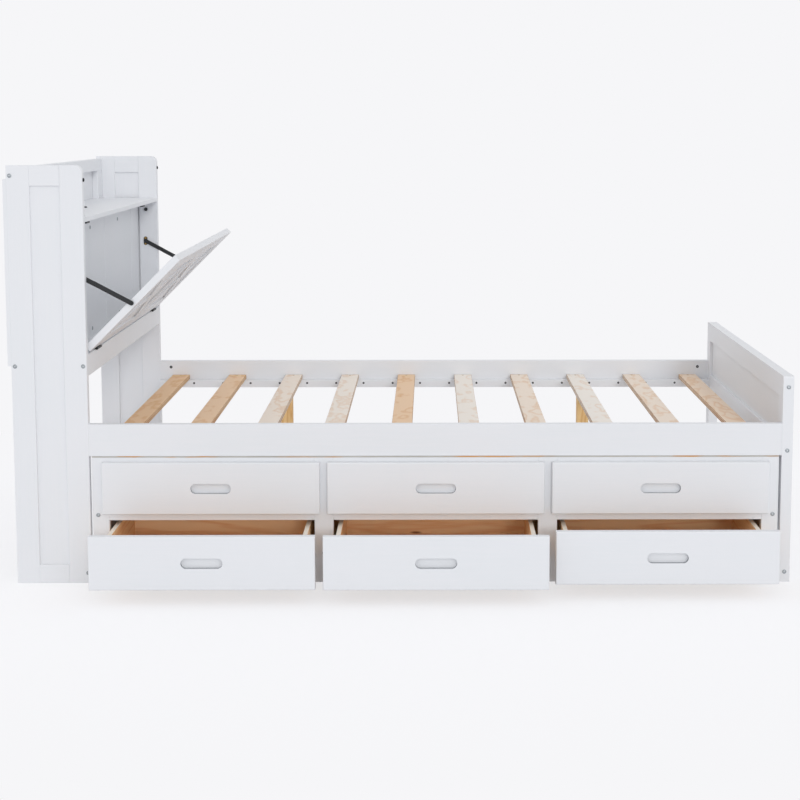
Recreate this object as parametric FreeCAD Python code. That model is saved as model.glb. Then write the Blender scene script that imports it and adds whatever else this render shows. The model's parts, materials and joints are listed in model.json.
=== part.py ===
import FreeCAD, Part
import math
import os

# A painted twin captain's bed: bookcase headboard with a drop-down flap, panelled footboard,
# slatted base and a chest of six drawers under the near side rail.
# Millimetres, +Z up. +X runs from the headboard to the footboard, +Y from the drawer side to the far side.
# The origin is on the floor, under the middle of the bed as it stands with its lower drawers out.

# Overall bed
inner_length = 1930.0
bed_width = 1070.0
headboard_height = 1170.0
headboard_depth = 208.0
footboard_height = 586.0
board_t = 20.0
arris = 1.0

# Frame-and-panel work shared by the headboard sides, the flap and the footboard
panel_t = 8.0
groove = 8.0
panel_play = 1.0

# Headboard sides
side_stile = 63.0
side_top_rail = 56.0
side_bottom_rail = 53.0
side_corner_r = 20.0

# Headboard cross pieces
back_panel_t = 10.0
back_panel_lap = 30.0
back_panel_drop = 38.0
back_top_drop = 8.0
back_top_rail = 40.0
back_stile = 62.0
shelf_t = 14.0
shelf_drop = 143.0
flap_opening = 367.0
lower_rail = 61.0
foot_rail = 50.0
foot_rail_lift = 4.0
compartment_depth = 66.0
lining_t = 12.0
lining_stile = 124.0
lining_groove = 3.0

# Flap, hung at its lower edge
flap_open_angle = 45.0
flap_side_gap = 10.0
flap_top_gap = 2.8
flap_stile = 54.0
flap_rail = 50.0
flap_muntin = 54.0
brace_width = 34.0
brace_t = 5.0

# Butt hinges of the flap
hinge_inset = 86.0
hinge_length = 50.0
leaf_width = 14.0
leaf_t = 2.0
leaf_gap = 0.4
barrel_r = 3.5
barrel_clear = 0.4
pin_r = 1.8
running_fit = 0.05
knuckle_gap = 0.3
knuckle_count = 3

# Folding stays of the flap, beside its two edges
stay_back = 42.0
stay_bracket_height = 230.0
stud_height = 180.0
stud_inset = 12.0
stay_width = 13.0
stay_t = 2.0
stay_layer_gap = 0.5
stay_plate_t = 1.5
stay_plate_height = 30.0
rivet_r = 2.5
rivet_head_r = 4.2
rivet_head_h = 1.0
rivet_play = 0.2
open_pivot_gap = 0.4

# Catches under the shelf
catch_inset = 106.0
catch_length = 38.0
catch_depth = 10.0
catch_height = 11.0
catch_gap = 1.0
catch_corner_r = 2.0

# Footboard
post_t = 30.0
post_width = 46.0
foot_top_rail = 62.0
foot_low_rail = 60.0
foot_low_rail_drop = 16.0
foot_panel_t = 10.0
post_corner_r = 5.0

# Side rails, ledgers, slats and middle legs
rail_height = 90.0
rail_bottom = 362.0
rail_t = 19.0
rail_setback = 1.0
ledger = 25.0
slat_count = 10
slat_width = 60.0
slat_t = 16.0
slat_end_inset = 74.0
slat_end_gap = 2.0
leg_square = 38.0
leg_far_inset = 266.0
leg_slats = (2, 7)

# Drawer chest under the near rail
chest_rail_gap = 5.0
chest_end_gap = 6.0
chest_setback = 4.0
chest_depth = 430.0
face_t = 20.0
end_stile = 46.0
mid_stile = 53.0
bays = 3
partition_t = 16.0
partition_lift = 20.0
partition_setback = 18.5
chest_back_t = 9.0
spacer_depth = 14.0
chest_bottom_rail = 26.0

# Drawers
front_t = 18.0
front_low = 42.0
front_top_margin = 11.0
front_row_gap = 11.0
front_lap_x = 16.0
front_lap_z = 10.0
front_gap = 0.5
front_edge_r = 3.0
pull_length = 112.0
pull_height = 28.0
pull_depth = 10.0
box_side_clear = 13.0
box_lift = 10.0
box_top_clear = 15.0
box_back_clear = 21.0
box_side_t = 12.0
box_bottom_t = 5.0
box_bottom_lift = 8.0
box_bottom_groove = 6.0
lower_pull_out = (175.0, 178.0, 135.0)

# Roller slides of the drawers
channel_height = 34.0
channel_flange = 9.0
sheet_t = 1.2
channel_inset = 2.0
cleat_height = 44.0
roller_r = 9.0
roller_width = 6.5
roller_clear = 0.3
roller_end = 12.0
runner_flange = 8.5
roller_sides = 16

# Bolts
bolt_r = 6.0
bolt_head_h = 1.5
bolt_crown_r = 4.6
bolt_sides = 18

V = FreeCAD.Vector
ALONG_X = V(1, 0, 0)
ALONG_Y = V(0, 1, 0)
ALONG_Z = V(0, 0, 1)

# Places worked out from the sizes above
overall_length = back_panel_t + headboard_depth + inner_length + post_t
head_x = back_panel_t - overall_length / 2
front_x = head_x + headboard_depth
foot_x = front_x + inner_length
end_x = foot_x + post_t
drawer_reach = max(lower_pull_out) + front_gap + front_t - chest_setback
near_y = (drawer_reach - bed_width - bolt_head_h) / 2
far_y = near_y + bed_width
inner_near = near_y + board_t
inner_far = far_y - board_t
shelf_top = headboard_height - shelf_drop
shelf_bottom = shelf_top - shelf_t
lower_rail_top = shelf_bottom - flap_opening
rail_top = rail_bottom + rail_height
foot_low_rail_z = rail_bottom - foot_low_rail_drop
ledger_top = rail_bottom + ledger
slat_pitch = (inner_length - 2 * slat_end_inset) / (slat_count - 1)

nodes = {}


def add(name, *solids):
    """Files solids under a node's name."""
    nodes.setdefault(name, []).extend(solids)


def board(x, y, z):
    """A squared board between three pairs of limits."""
    return Part.makeBox(x[1] - x[0], y[1] - y[0], z[1] - z[0], V(x[0], y[0], z[0]))


def edges_along(shape, axis):
    """The straight edges of a shape that run along an axis."""
    found = []
    for edge in shape.Edges:
        straight = edge.Curve.TypeId == "Part::GeomLine"
        if straight and edge.Curve.Direction.cross(axis).Length < FreeCAD.Base.Precision.confusion():
            found.append(edge)
    return found


def eased(shape, axis, size=arris):
    """Takes the sharp arrises off a board's long edges."""
    return shape.makeChamfer(size, edges_along(shape, axis))


def edge_near(shape, axis, point):
    """The edge along an axis whose middle lies nearest to a point."""
    return min(edges_along(shape, axis), key=lambda edge: edge.CenterOfMass.distanceToPoint(point))


def rod(radius, length, base, axis=ALONG_Y):
    """A round bar from a base point along an axis."""
    return Part.makeCylinder(radius, length, base, axis)


def ring(radius, sides, centre, axis):
    """A closed regular outline round an axis that lies along X or Y."""
    across = ALONG_Z.cross(axis)
    corners = []
    for step in range(sides + 1):
        turn = 2 * math.pi * (step % sides) / sides
        corners.append(centre + across * (radius * math.cos(turn)) + ALONG_Z * (radius * math.sin(turn)))
    return Part.makePolygon(corners)


def strap(start, end, width, low_y, thick):
    """A flat bar with round ends between two pivots, lying in an XZ plane."""
    run = end - start
    length = run.Length
    side = V(-run.z, 0, run.x) * (width / 2 / length)
    reach = run * (width / 2 / length)
    corners = [start + side, end + side, end - side, start - side]
    outline = Part.Wire([
        Part.makeLine(corners[0], corners[1]),
        Part.Arc(corners[1], end + reach, corners[2]).toShape(),
        Part.makeLine(corners[2], corners[3]),
        Part.Arc(corners[3], start - reach, corners[0]).toShape(),
    ])
    bar = Part.Face(outline).extrude(V(0, thick, 0))
    bar.translate(V(0, low_y - start.y, 0))
    return bar


def frame_and_panel(width, height, thick, stile, top, bottom, panel):
    """Two stiles, two rails and a panel held in their grooves, standing in the XZ plane from the origin."""
    mid = thick / 2
    slot_y = (mid - panel / 2, mid + panel / 2)
    slot_z = (bottom - groove, height - top + groove)
    opening = (stile, width - stile)
    left = eased(board((0, stile), (0, thick), (0, height)), ALONG_Z)
    left = left.cut(board((stile - groove, stile), slot_y, slot_z))
    right = eased(board((width - stile, width), (0, thick), (0, height)), ALONG_Z)
    right = right.cut(board((width - stile, width - stile + groove), slot_y, slot_z))
    low = eased(board(opening, (0, thick), (0, bottom)), ALONG_X)
    low = low.cut(board(opening, slot_y, (bottom - groove, bottom)))
    high = eased(board(opening, (0, thick), (height - top, height)), ALONG_X)
    high = high.cut(board(opening, slot_y, (height - top, height - top + groove)))
    hidden = groove - panel_play
    sheet = board((stile - hidden, width - stile + hidden), slot_y,
                  (bottom - hidden, height - top + hidden))
    return [left, right], [low, high], sheet


def stood_across(shapes, face_x, low_y, base_z):
    """Turns frame-and-panel work to stand across the bed, its first face at face_x."""
    turned = []
    for shape in shapes:
        copy = shape.copy()
        copy.rotate(V(0, 0, 0), ALONG_Z, 90)
        copy.translate(V(face_x, low_y, base_z))
        turned.append(copy)
    return turned


def headboard_sides():
    """The two framed side panels, with the upper front corners rounded."""
    for low_y in (near_y, inner_far):
        stiles, rails, panel = frame_and_panel(headboard_depth, headboard_height, board_t, side_stile,
                                               side_top_rail, side_bottom_rail, panel_t)
        corner = V(headboard_depth, board_t / 2, headboard_height)
        stiles[1] = stiles[1].makeFillet(side_corner_r, [edge_near(stiles[1], ALONG_Y, corner)])
        for shape in stiles + rails + [panel]:
            shape.translate(V(head_x, low_y, 0))
        side = "near" if low_y == near_y else "far"
        add(f"headboard_{side}_stiles", *stiles)
        add(f"headboard_{side}_rails", *rails)
        add("headboard_side_panels", panel)


def headboard_cross_pieces():
    """Top rail, back stiles, shelf, compartment floor, cross rails, applied back and compartment lining."""
    width = (inner_near, inner_far)
    back = (head_x, head_x + board_t)
    front = (front_x - board_t, front_x)
    top = headboard_height - back_top_drop
    low = lower_rail_top - lower_rail
    floor_z = (lower_rail_top - shelf_t, lower_rail_top)
    foot = (foot_rail_lift, foot_rail_lift + foot_rail)
    add("headboard_top_rail", eased(board(back, width, (top - back_top_rail, top)), ALONG_Y))
    for low_y in (inner_near, inner_far - back_stile):
        stile = board(back, (low_y, low_y + back_stile), (shelf_top, top - back_top_rail))
        add("headboard_back_stiles", eased(stile, ALONG_Z))
    add("headboard_shelf", eased(board((head_x, front_x), width, (shelf_bottom, shelf_top)), ALONG_Y))
    add("compartment_floor", board((head_x, front[0]), width, floor_z))
    add("headboard_cross_rails", eased(board(front, width, (low, lower_rail_top)), ALONG_Y))
    add("headboard_cross_rails", eased(board(back, width, (low, floor_z[0])), ALONG_Y))
    add("headboard_cross_rails", eased(board(front, width, foot), ALONG_Y))
    sheet = board((head_x - back_panel_t, head_x), (near_y + arris, far_y - arris),
                  (lower_rail_top - back_panel_lap, headboard_height - back_panel_drop))
    add("headboard_back_panel", eased(sheet, ALONG_Y))
    lining_x = (front_x - compartment_depth - lining_t, front_x - compartment_depth)
    joints = (inner_near, inner_near + lining_stile, (inner_near + inner_far) / 2,
              inner_far - lining_stile, inner_far)
    for low_y, high_y in zip(joints, joints[1:]):
        plank = board(lining_x, (low_y, high_y), (lower_rail_top, shelf_bottom))
        add("headboard_back_panel", eased(plank, ALONG_Z, lining_groove))


# The flap turns about an axis just in front of the cross rail that carries it
hinge_gap = 2 * leaf_t + leaf_gap
hinge_x = front_x + barrel_r + barrel_clear
hinge_z = lower_rail_top + hinge_gap / 2
flap_bottom = lower_rail_top + hinge_gap
flap_height = shelf_bottom - flap_top_gap - flap_bottom
flap_near = inner_near + flap_side_gap
flap_far = inner_far - flap_side_gap


def opened(shape):
    """Swings a piece that was drawn with the flap shut to the open pose."""
    copy = shape.copy()
    copy.rotate(V(hinge_x, 0, hinge_z), ALONG_Y, flap_open_angle)
    return copy


def flap():
    """Framed flap with a middle muntin and crossed braces on its outer face."""
    width = flap_far - flap_near
    stiles, rails, panel = frame_and_panel(width, flap_height, board_t, flap_stile, flap_rail, flap_rail,
                                           panel_t)
    recess = (board_t - panel_t) / 2
    field = (flap_rail, flap_height - flap_rail)
    muntin_x = ((width - flap_muntin) / 2, (width + flap_muntin) / 2)
    muntin = eased(board(muntin_x, (0, recess), field), ALONG_Z)
    braces = []
    for low_x in (flap_stile, muntin_x[1]):
        braces.extend(crossed_braces((low_x, low_x + muntin_x[0] - flap_stile), field, recess))
    for name, shapes in (("flap_stiles", stiles + [muntin]), ("flap_rails", rails),
                         ("flap_panel", [panel]), ("flap_braces", braces)):
        for shape in stood_across(shapes, front_x, flap_near, flap_bottom):
            add(name, opened(shape))


def crossed_braces(x, z, recess):
    """One long diagonal and two short ones that meet it, cut to the corners of a field."""
    field = board(x, (recess - brace_t, recess), z)
    centre = V((x[0] + x[1]) / 2, recess - brace_t, (z[0] + z[1]) / 2)
    reach = math.hypot(x[1] - x[0], z[1] - z[0])
    slope = math.degrees(math.atan2(z[1] - z[0], x[1] - x[0]))
    bars = []
    for angle in (slope, -slope):
        bar = board((-reach, reach), (0, brace_t), (-brace_width / 2, brace_width / 2))
        bar.rotate(V(0, 0, 0), ALONG_Y, -angle)
        bar.translate(centre)
        bars.append(bar)
    long_bar = bars[0].common(field)
    halves = bars[1].common(field).cut(bars[0]).Solids
    return [long_bar] + halves


def butt_hinges():
    """Two butt hinges: a leaf on the cross rail, a leaf on the flap and a pin through both."""
    knuckle = (hinge_length - (knuckle_count - 1) * knuckle_gap) / knuckle_count
    rail_leaf_z = (lower_rail_top, lower_rail_top + leaf_t)
    flap_leaf_z = (flap_bottom - leaf_t, flap_bottom)
    for low_y in (inner_near + hinge_inset, inner_far - hinge_inset - hinge_length):
        starts = [low_y + step * (knuckle + knuckle_gap) for step in range(knuckle_count)]
        pin_base = V(hinge_x, low_y, hinge_z)
        add("hinge_rail_leaves", hinge_leaf(rail_leaf_z, low_y, starts[::2], knuckle))
        add("hinge_flap_leaves", opened(hinge_leaf(flap_leaf_z, low_y, starts[1::2], knuckle)))
        add("hinge_pins", rod(pin_r, hinge_length, pin_base))


def hinge_leaf(z, low_y, knuckle_starts, knuckle):
    """A leaf plate let onto the wood, with its own knuckles rolled round the pin."""
    plate = board((front_x - leaf_width, front_x), (low_y, low_y + hinge_length), z)
    shapes = []
    for start in knuckle_starts:
        shapes.append(board((front_x, hinge_x), (start, start + knuckle), z))
        shapes.append(rod(barrel_r, knuckle, V(hinge_x, start, hinge_z)))
    leaf = plate.multiFuse(shapes).removeSplitter()
    return leaf.cut(rod(pin_r + running_fit, hinge_length, V(hinge_x, low_y, hinge_z)))


def folding_stays():
    """A folding stay at each edge of the flap: wall bracket, two links and a stud on the flap's edge.

    The links lie in line with the flap open. With it shut, the upper link stands upright above its bracket,
    so that the stay folds inside the shallow compartment.
    """
    bracket = V(front_x - stay_back, 0, lower_rail_top + stay_bracket_height)
    shut_stud = V(front_x - stud_inset, 0, flap_bottom + stud_height)
    stud = opened(Part.Vertex(shut_stud)).Point
    reach = (stud - bracket).Length
    shut_run = shut_stud - bracket
    upper_length = (reach ** 2 - shut_run.Length ** 2) / (2 * (reach - shut_run.z))
    elbow = bracket + (stud - bracket) * (upper_length / reach)
    for side, wall, sign in (("near", inner_near, 1), ("far", inner_far, -1)):
        plate = layer(wall, sign, 0, stay_plate_t)
        upper = layer(wall, sign, stay_plate_t + stay_layer_gap, stay_t)
        lower = layer(wall, sign, stay_plate_t + 2 * stay_layer_gap + stay_t, stay_t)
        edge = wall + sign * flap_side_gap
        plate_half = V(0, 0, (stay_plate_height - stay_width) / 2)
        holder = strap(bracket - plate_half, bracket + plate_half, stay_width, plate[0], stay_plate_t)
        post = between(bracket, rivet_r, wall, inner_face(upper, sign))
        cap_low = inner_face(upper, sign) + sign * rivet_play
        cap_high = cap_low + sign * rivet_head_h
        cap = between(bracket, rivet_head_r, cap_low, cap_high)
        neck = between(bracket, rivet_r, inner_face(upper, sign), cap_high)
        add("stay_brackets", holder.multiFuse([post, cap, neck]).removeSplitter())
        bore = rivet_r + running_fit
        first = strap(bracket, elbow, stay_width, upper[0], stay_t)
        for point in (bracket, elbow):
            first = first.cut(rod(bore, stay_t, V(point.x, upper[0], point.z)))
        add(f"{side}_stay_upper_link", first)
        second = strap(elbow, stud, stay_width, lower[0], stay_t)
        second = second.cut(rod(bore, stay_t, V(stud.x, lower[0], stud.z)))
        pivot = between(elbow, rivet_r, outer_face(upper, sign), inner_face(lower, sign))
        inside = inner_face(lower, sign)
        head = between(elbow, rivet_head_r, inside, inside + sign * rivet_head_h)
        add(f"{side}_stay_lower_link", second.multiFuse([pivot, head]).removeSplitter())
        add("stay_studs", between(stud, rivet_head_r, inside + sign * open_pivot_gap, edge))


def layer(wall, sign, start, thick):
    """The Y limits of a layer of the stay, counted from the wall that carries it."""
    ends = (wall + sign * start, wall + sign * (start + thick))
    return min(ends), max(ends)


def inner_face(limits, sign):
    """The face of a layer that looks away from its wall."""
    return limits[1] if sign > 0 else limits[0]


def outer_face(limits, sign):
    """The face of a layer that looks at its wall."""
    return limits[0] if sign > 0 else limits[1]


def between(point, radius, start_y, end_y):
    """A round bar along Y between two places, in either order."""
    return rod(radius, abs(end_y - start_y), V(point.x, min(start_y, end_y), point.z))


def catches():
    """Magnetic catches under the shelf, just behind the shut flap."""
    back = front_x - board_t - catch_gap - catch_depth
    for low_y in (inner_near + catch_inset, inner_far - catch_inset - catch_length):
        body = board((back, back + catch_depth), (low_y, low_y + catch_length),
                     (shelf_bottom - catch_height, shelf_bottom))
        add("flap_catches", body.makeFillet(catch_corner_r, edges_along(body, ALONG_Z)))


def footboard():
    """Two posts, three cross rails and a panel held in the posts and the upper rails."""
    mid_x = (foot_x + end_x) / 2
    slot = (mid_x - foot_panel_t / 2, mid_x + foot_panel_t / 2)
    low_top = foot_low_rail_z + foot_low_rail
    high_bottom = footboard_height - foot_top_rail
    slot_z = (low_top - groove, high_bottom + groove)
    width = (near_y + post_width, far_y - post_width)
    far_post = far_y - post_width
    for low_y, slot_low in ((near_y, width[0] - groove), (far_post, far_post)):
        post = board((foot_x, end_x), (low_y, low_y + post_width), (0, footboard_height))
        corner = V(mid_x, near_y if low_y == near_y else far_y, footboard_height)
        post = post.makeFillet(post_corner_r, [edge_near(post, ALONG_X, corner)])
        add("footboard_posts", post.cut(board(slot, (slot_low, slot_low + groove), slot_z)))
    high = eased(board((foot_x, end_x), width, (high_bottom, footboard_height)), ALONG_Y)
    low = eased(board((foot_x, end_x), width, (foot_low_rail_z, low_top)), ALONG_Y)
    foot = eased(board((foot_x, end_x), width, (foot_rail_lift, foot_rail_lift + foot_rail)), ALONG_Y)
    add("footboard_rails", high.cut(board(slot, width, (high_bottom, high_bottom + groove))))
    add("footboard_rails", low.cut(board(slot, width, (low_top - groove, low_top))), foot)
    hidden = groove - panel_play
    add("footboard_panel", board(slot, (width[0] - hidden, width[1] + hidden),
                                 (low_top - hidden, high_bottom + hidden)))


def slatted_base():
    """Side rails with ledgers, the slats that lie on them and the middle legs."""
    length = (front_x, foot_x)
    for side, outer, sign in (("near", near_y, 1), ("far", far_y, -1)):
        skin = outer + sign * rail_setback
        inside = skin + sign * rail_t
        rail_y = (min(skin, inside), max(skin, inside))
        ledger_y = (min(inside, inside + sign * ledger), max(inside, inside + sign * ledger))
        add(f"side_rail_{side}", eased(board(length, rail_y, (rail_bottom, rail_top)), ALONG_X))
        add("slat_ledgers", eased(board(length, ledger_y, (rail_bottom, ledger_top)), ALONG_X))
    slat_y = (near_y + rail_setback + rail_t + slat_end_gap, far_y - rail_setback - rail_t - slat_end_gap)
    for index in range(slat_count):
        centre = front_x + slat_end_inset + index * slat_pitch
        slat_x = (centre - slat_width / 2, centre + slat_width / 2)
        add("slats", eased(board(slat_x, slat_y, (ledger_top, ledger_top + slat_t)), ALONG_Y))
        if index in leg_slats:
            leg_x = (centre - leg_square / 2, centre + leg_square / 2)
            leg_y = (far_y - leg_far_inset - leg_square / 2, far_y - leg_far_inset + leg_square / 2)
            add("middle_legs", eased(board(leg_x, leg_y, (0, ledger_top)), ALONG_Z))


# The chest's face frame, from its left end
chest_height = rail_bottom - chest_rail_gap
chest_x = front_x + chest_end_gap
chest_end = foot_x - chest_end_gap
chest_y = near_y + chest_setback
face_back = chest_y + face_t
chest_back_y = chest_y + chest_depth - chest_back_t
opening_width = (chest_end - chest_x - 2 * end_stile - (bays - 1) * mid_stile) / bays
bay_pitch = opening_width + mid_stile
front_height = (chest_height - front_low - front_top_margin - front_row_gap) / 2
opening_height = front_height - 2 * front_lap_z
box_height = opening_height - box_lift - box_top_clear
box_depth = chest_depth - chest_back_t - box_back_clear
row_pitch = front_height + front_row_gap
row_lows = [front_low + front_lap_z + row * row_pitch for row in range(2)]
bay_lows = [chest_x + end_stile + bay * bay_pitch for bay in range(bays)]


def chest():
    """Face frame, partitions, thin back and the strip that joins the chest to the side rail."""
    face_y = (chest_y, face_back)
    inside_y = (face_back, chest_back_y)
    stile_x = [(chest_x, bay_lows[0])]
    stile_x += [(low + opening_width, low + opening_width + mid_stile) for low in bay_lows[:-1]]
    stile_x += [(bay_lows[-1] + opening_width, chest_end)]
    for limits in stile_x:
        add("chest_stiles", eased(board(limits, face_y, (0, chest_height)), ALONG_Z))
    rail_z = [(row_lows[0] - chest_bottom_rail, row_lows[0]),
              (row_lows[0] + opening_height, row_lows[1]),
              (row_lows[1] + opening_height, chest_height)]
    for low in bay_lows:
        for limits in rail_z:
            add("chest_rails", eased(board((low, low + opening_width), face_y, limits), ALONG_X))
    partition_x = [low - partition_setback - partition_t for low in bay_lows]
    partition_x.append(bay_lows[-1] + opening_width + partition_setback)
    for low in partition_x:
        add("chest_partitions", board((low, low + partition_t), inside_y, (partition_lift, chest_height)))
    add("chest_back", board((partition_x[0], partition_x[-1] + partition_t),
                            (chest_back_y, chest_back_y + chest_back_t), (partition_lift, chest_height)))
    spacer_y = (chest_y + arris, chest_y + arris + spacer_depth)
    add("chest_spacer", board((chest_x, chest_end), spacer_y, (chest_height, rail_bottom)))


def slides():
    """Fixed side of the roller slides: packing cleats, folded channels and their front rollers."""
    for low in bay_lows:
        for row_low in row_lows:
            base = row_low + box_lift
            for face, sign in ((low, 1), (low + opening_width, -1)):
                wall = face - sign * partition_setback
                cleat_x = (min(wall, face), max(wall, face))
                cleat_low = base + (channel_height - cleat_height) / 2
                cleat_z = (cleat_low, cleat_low + cleat_height)
                add("slide_cleats", board(cleat_x, (face_back, face_back + box_depth - face_t), cleat_z))
                add("slide_channels", channel(face, sign, base))
                roller_z = base + sheet_t + roller_clear + roller_r
                roller_y = chest_y + channel_inset + roller_end
                add("slide_rollers", roller(face + sign * sheet_t, sign, roller_width, roller_y, roller_z))


def channel(face, sign, base):
    """A channel folded from sheet: a web on the cleat and two flanges towards the drawer."""
    def at(offset, height):
        return V(face + sign * offset, chest_y + channel_inset, base + height)
    deep = sheet_t + channel_flange
    outline = [at(0, 0), at(deep, 0), at(deep, sheet_t), at(sheet_t, sheet_t),
               at(sheet_t, channel_height - sheet_t), at(deep, channel_height - sheet_t),
               at(deep, channel_height), at(0, channel_height), at(0, 0)]
    return Part.Face(Part.makePolygon(outline)).extrude(V(0, box_depth - channel_inset, 0))


def roller(web, sign, width, y, z):
    """A small wheel that turns against a web, facing along X."""
    rim = ring(roller_r, roller_sides, V(web, y, z), ALONG_X)
    return Part.Face(rim).extrude(V(sign * width, 0, 0))


def drawer(name, low, row_low, pull_out):
    """One drawer: overlay front with a finger pull, a box of boards and the moving slide members."""
    back_y = chest_y - front_gap - pull_out
    centre_x = low + opening_width / 2
    add(f"{name}_front", drawer_front(centre_x, back_y, row_low - front_lap_z))
    x = (low + box_side_clear, low + opening_width - box_side_clear)
    inner_x = (x[0] + box_side_t, x[1] - box_side_t)
    y = (back_y, back_y + box_depth)
    z = (row_low + box_lift, row_low + box_lift + box_height)
    floor_z = (z[0] + box_bottom_lift, z[0] + box_bottom_lift + box_bottom_t)
    slot_y = (y[0] + box_side_t - box_bottom_groove, y[1] - box_side_t + box_bottom_groove)
    slot_x = (inner_x[0] - box_bottom_groove, inner_x[1] + box_bottom_groove)
    for side, slot in (((x[0], inner_x[0]), (slot_x[0], inner_x[0])),
                       ((inner_x[1], x[1]), (inner_x[1], slot_x[1]))):
        add(f"{name}_box", board(side, y, z).cut(board(slot, slot_y, floor_z)))
    for end, slot in (((y[0], y[0] + box_side_t), (slot_y[0], y[0] + box_side_t)),
                      ((y[1] - box_side_t, y[1]), (y[1] - box_side_t, slot_y[1]))):
        add(f"{name}_box", board(inner_x, end, z).cut(board(inner_x, slot, floor_z)))
    hidden = box_bottom_groove - panel_play
    add(f"{name}_box", board((inner_x[0] - hidden, inner_x[1] + hidden),
                             (y[0] + box_side_t - hidden, y[1] - box_side_t + hidden), floor_z))
    for wall, sign in ((x[0], -1), (x[1], 1)):
        add(f"{name}_runners", *runner(wall, sign, y, z[0]))


def drawer_front(centre_x, back_y, low_z):
    """An overlay front with rounded edges and a blind slot for the fingers."""
    half = opening_width / 2 + front_lap_x
    face_y = back_y - front_t
    panel = board((centre_x - half, centre_x + half), (face_y, back_y), (low_z, low_z + front_height))
    rim = [edge for edge in panel.Edges if abs(edge.CenterOfMass.y - face_y) < front_edge_r]
    panel = panel.makeFillet(front_edge_r, rim)
    mid_z = low_z + front_height / 2
    reach = V((pull_length - pull_height) / 2, 0, 0)
    middle = V(centre_x, face_y, mid_z)
    return panel.cut(strap(middle - reach, middle + reach, pull_height, face_y, pull_depth))


def runner(wall, sign, y, base):
    """The drawer's side of a slide: a folded angle on the box and a roller at its back end."""
    flange_low = sheet_t + 2 * roller_clear + 2 * roller_r

    def at(offset, height):
        return V(wall + sign * offset, y[0], base + height)
    outline = [at(0, 0), at(sheet_t, 0), at(sheet_t, flange_low), at(sheet_t + runner_flange, flange_low),
               at(sheet_t + runner_flange, flange_low + sheet_t), at(0, flange_low + sheet_t), at(0, 0)]
    angle = Part.Face(Part.makePolygon(outline)).extrude(V(0, y[1] - y[0], 0))
    wheel = roller(wall + sign * sheet_t, sign, runner_flange, y[1] - roller_end,
                   base + sheet_t + roller_clear + roller_r)
    return angle, wheel


def drawers():
    """Two rows of three drawers: the upper row shut, the lower row drawn out as far as each stands."""
    for bay, column in enumerate(("left", "middle", "right")):
        drawer(f"lower_{column}_drawer", bay_lows[bay], row_lows[0], lower_pull_out[bay])
        drawer(f"upper_{column}_drawer", bay_lows[bay], row_lows[1], 0.0)


def bolt_head(x, face_y, z, sign):
    """A low crowned bolt head standing out of a face along Y."""
    base = V(x, face_y, z)
    rim = ring(bolt_r, bolt_sides, base, ALONG_Y)
    crown = ring(bolt_crown_r, bolt_sides, base + V(0, sign * bolt_head_h, 0), ALONG_Y)
    return Part.makeLoft([rim, crown], True, True)


def bolts():
    """Connecting bolts through the headboard sides, the posts and the chest's stiles."""
    back = head_x + board_t / 2
    front = front_x - board_t / 2
    post = (foot_x + end_x) / 2
    low_rail_mid = lower_rail_top - lower_rail / 2
    foot_mid = foot_rail_lift + foot_rail / 2
    places = [(back, headboard_height - back_top_drop - back_top_rail / 2), (back, low_rail_mid),
              (front, low_rail_mid), (front, foot_mid),
              (post, footboard_height - foot_top_rail / 2), (post, foot_low_rail_z + foot_low_rail / 2),
              (post, foot_mid)]
    for face_y, sign in ((near_y, -1), (far_y, 1)):
        for x, z in places:
            add("frame_bolts", bolt_head(x, face_y, z, sign))
    mid_rail_z = (row_lows[0] + opening_height + row_lows[1]) / 2
    quarter_z = row_lows[0] + opening_height / 4
    bare = end_stile - front_lap_x
    for x in (chest_x + bare / 2, chest_end - bare / 2):
        add("frame_bolts", bolt_head(x, chest_y, mid_rail_z, -1))
    for low in bay_lows[:-1]:
        add("frame_bolts", bolt_head(low + opening_width + mid_stile / 2, chest_y, quarter_z, -1))


headboard_sides()
headboard_cross_pieces()
flap()
butt_hinges()
folding_stays()
catches()
footboard()
slatted_base()
chest()
slides()
drawers()
bolts()

os.makedirs("parts", exist_ok=True)
for name, solids in nodes.items():
    shape = solids[0] if len(solids) == 1 else Part.makeCompound(solids)
    shape.exportStep(f"parts/{name}.step")
print(len(nodes), "nodes", sum(len(solids) for solids in nodes.values()), "solids")
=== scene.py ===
import json
import logging
import math
from dataclasses import dataclass, replace
from enum import Enum
from typing import Any, Callable, ClassVar, Iterable, Optional, Sequence, Union

import bmesh
import bpy
from mathutils import Matrix, Vector


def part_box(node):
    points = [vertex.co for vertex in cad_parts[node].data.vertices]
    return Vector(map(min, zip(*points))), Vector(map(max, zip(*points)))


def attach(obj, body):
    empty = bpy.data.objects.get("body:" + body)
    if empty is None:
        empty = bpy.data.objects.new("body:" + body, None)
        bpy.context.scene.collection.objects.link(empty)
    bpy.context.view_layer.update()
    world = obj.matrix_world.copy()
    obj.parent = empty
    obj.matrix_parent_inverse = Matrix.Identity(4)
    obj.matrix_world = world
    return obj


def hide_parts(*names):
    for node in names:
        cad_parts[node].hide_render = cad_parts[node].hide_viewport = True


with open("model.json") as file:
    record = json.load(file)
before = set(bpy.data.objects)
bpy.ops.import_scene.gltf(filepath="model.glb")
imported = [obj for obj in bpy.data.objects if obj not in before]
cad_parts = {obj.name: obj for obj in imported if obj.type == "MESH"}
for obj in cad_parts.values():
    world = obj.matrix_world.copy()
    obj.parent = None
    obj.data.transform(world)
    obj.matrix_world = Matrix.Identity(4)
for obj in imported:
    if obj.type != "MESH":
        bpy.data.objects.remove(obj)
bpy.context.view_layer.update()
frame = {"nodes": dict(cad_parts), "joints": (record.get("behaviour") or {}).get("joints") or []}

log = logging.getLogger("captains_bed")

MM = 0.001
ROOT = "bed_frame"
FLAP = "flap"
UP = Vector((0.0, 0.0, 1.0))
# Metres under which two corners are one
SAME_PLACE = 1e-6
# A face looks along an axis when its normal's part along it is above this
STEEP = 0.7
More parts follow.
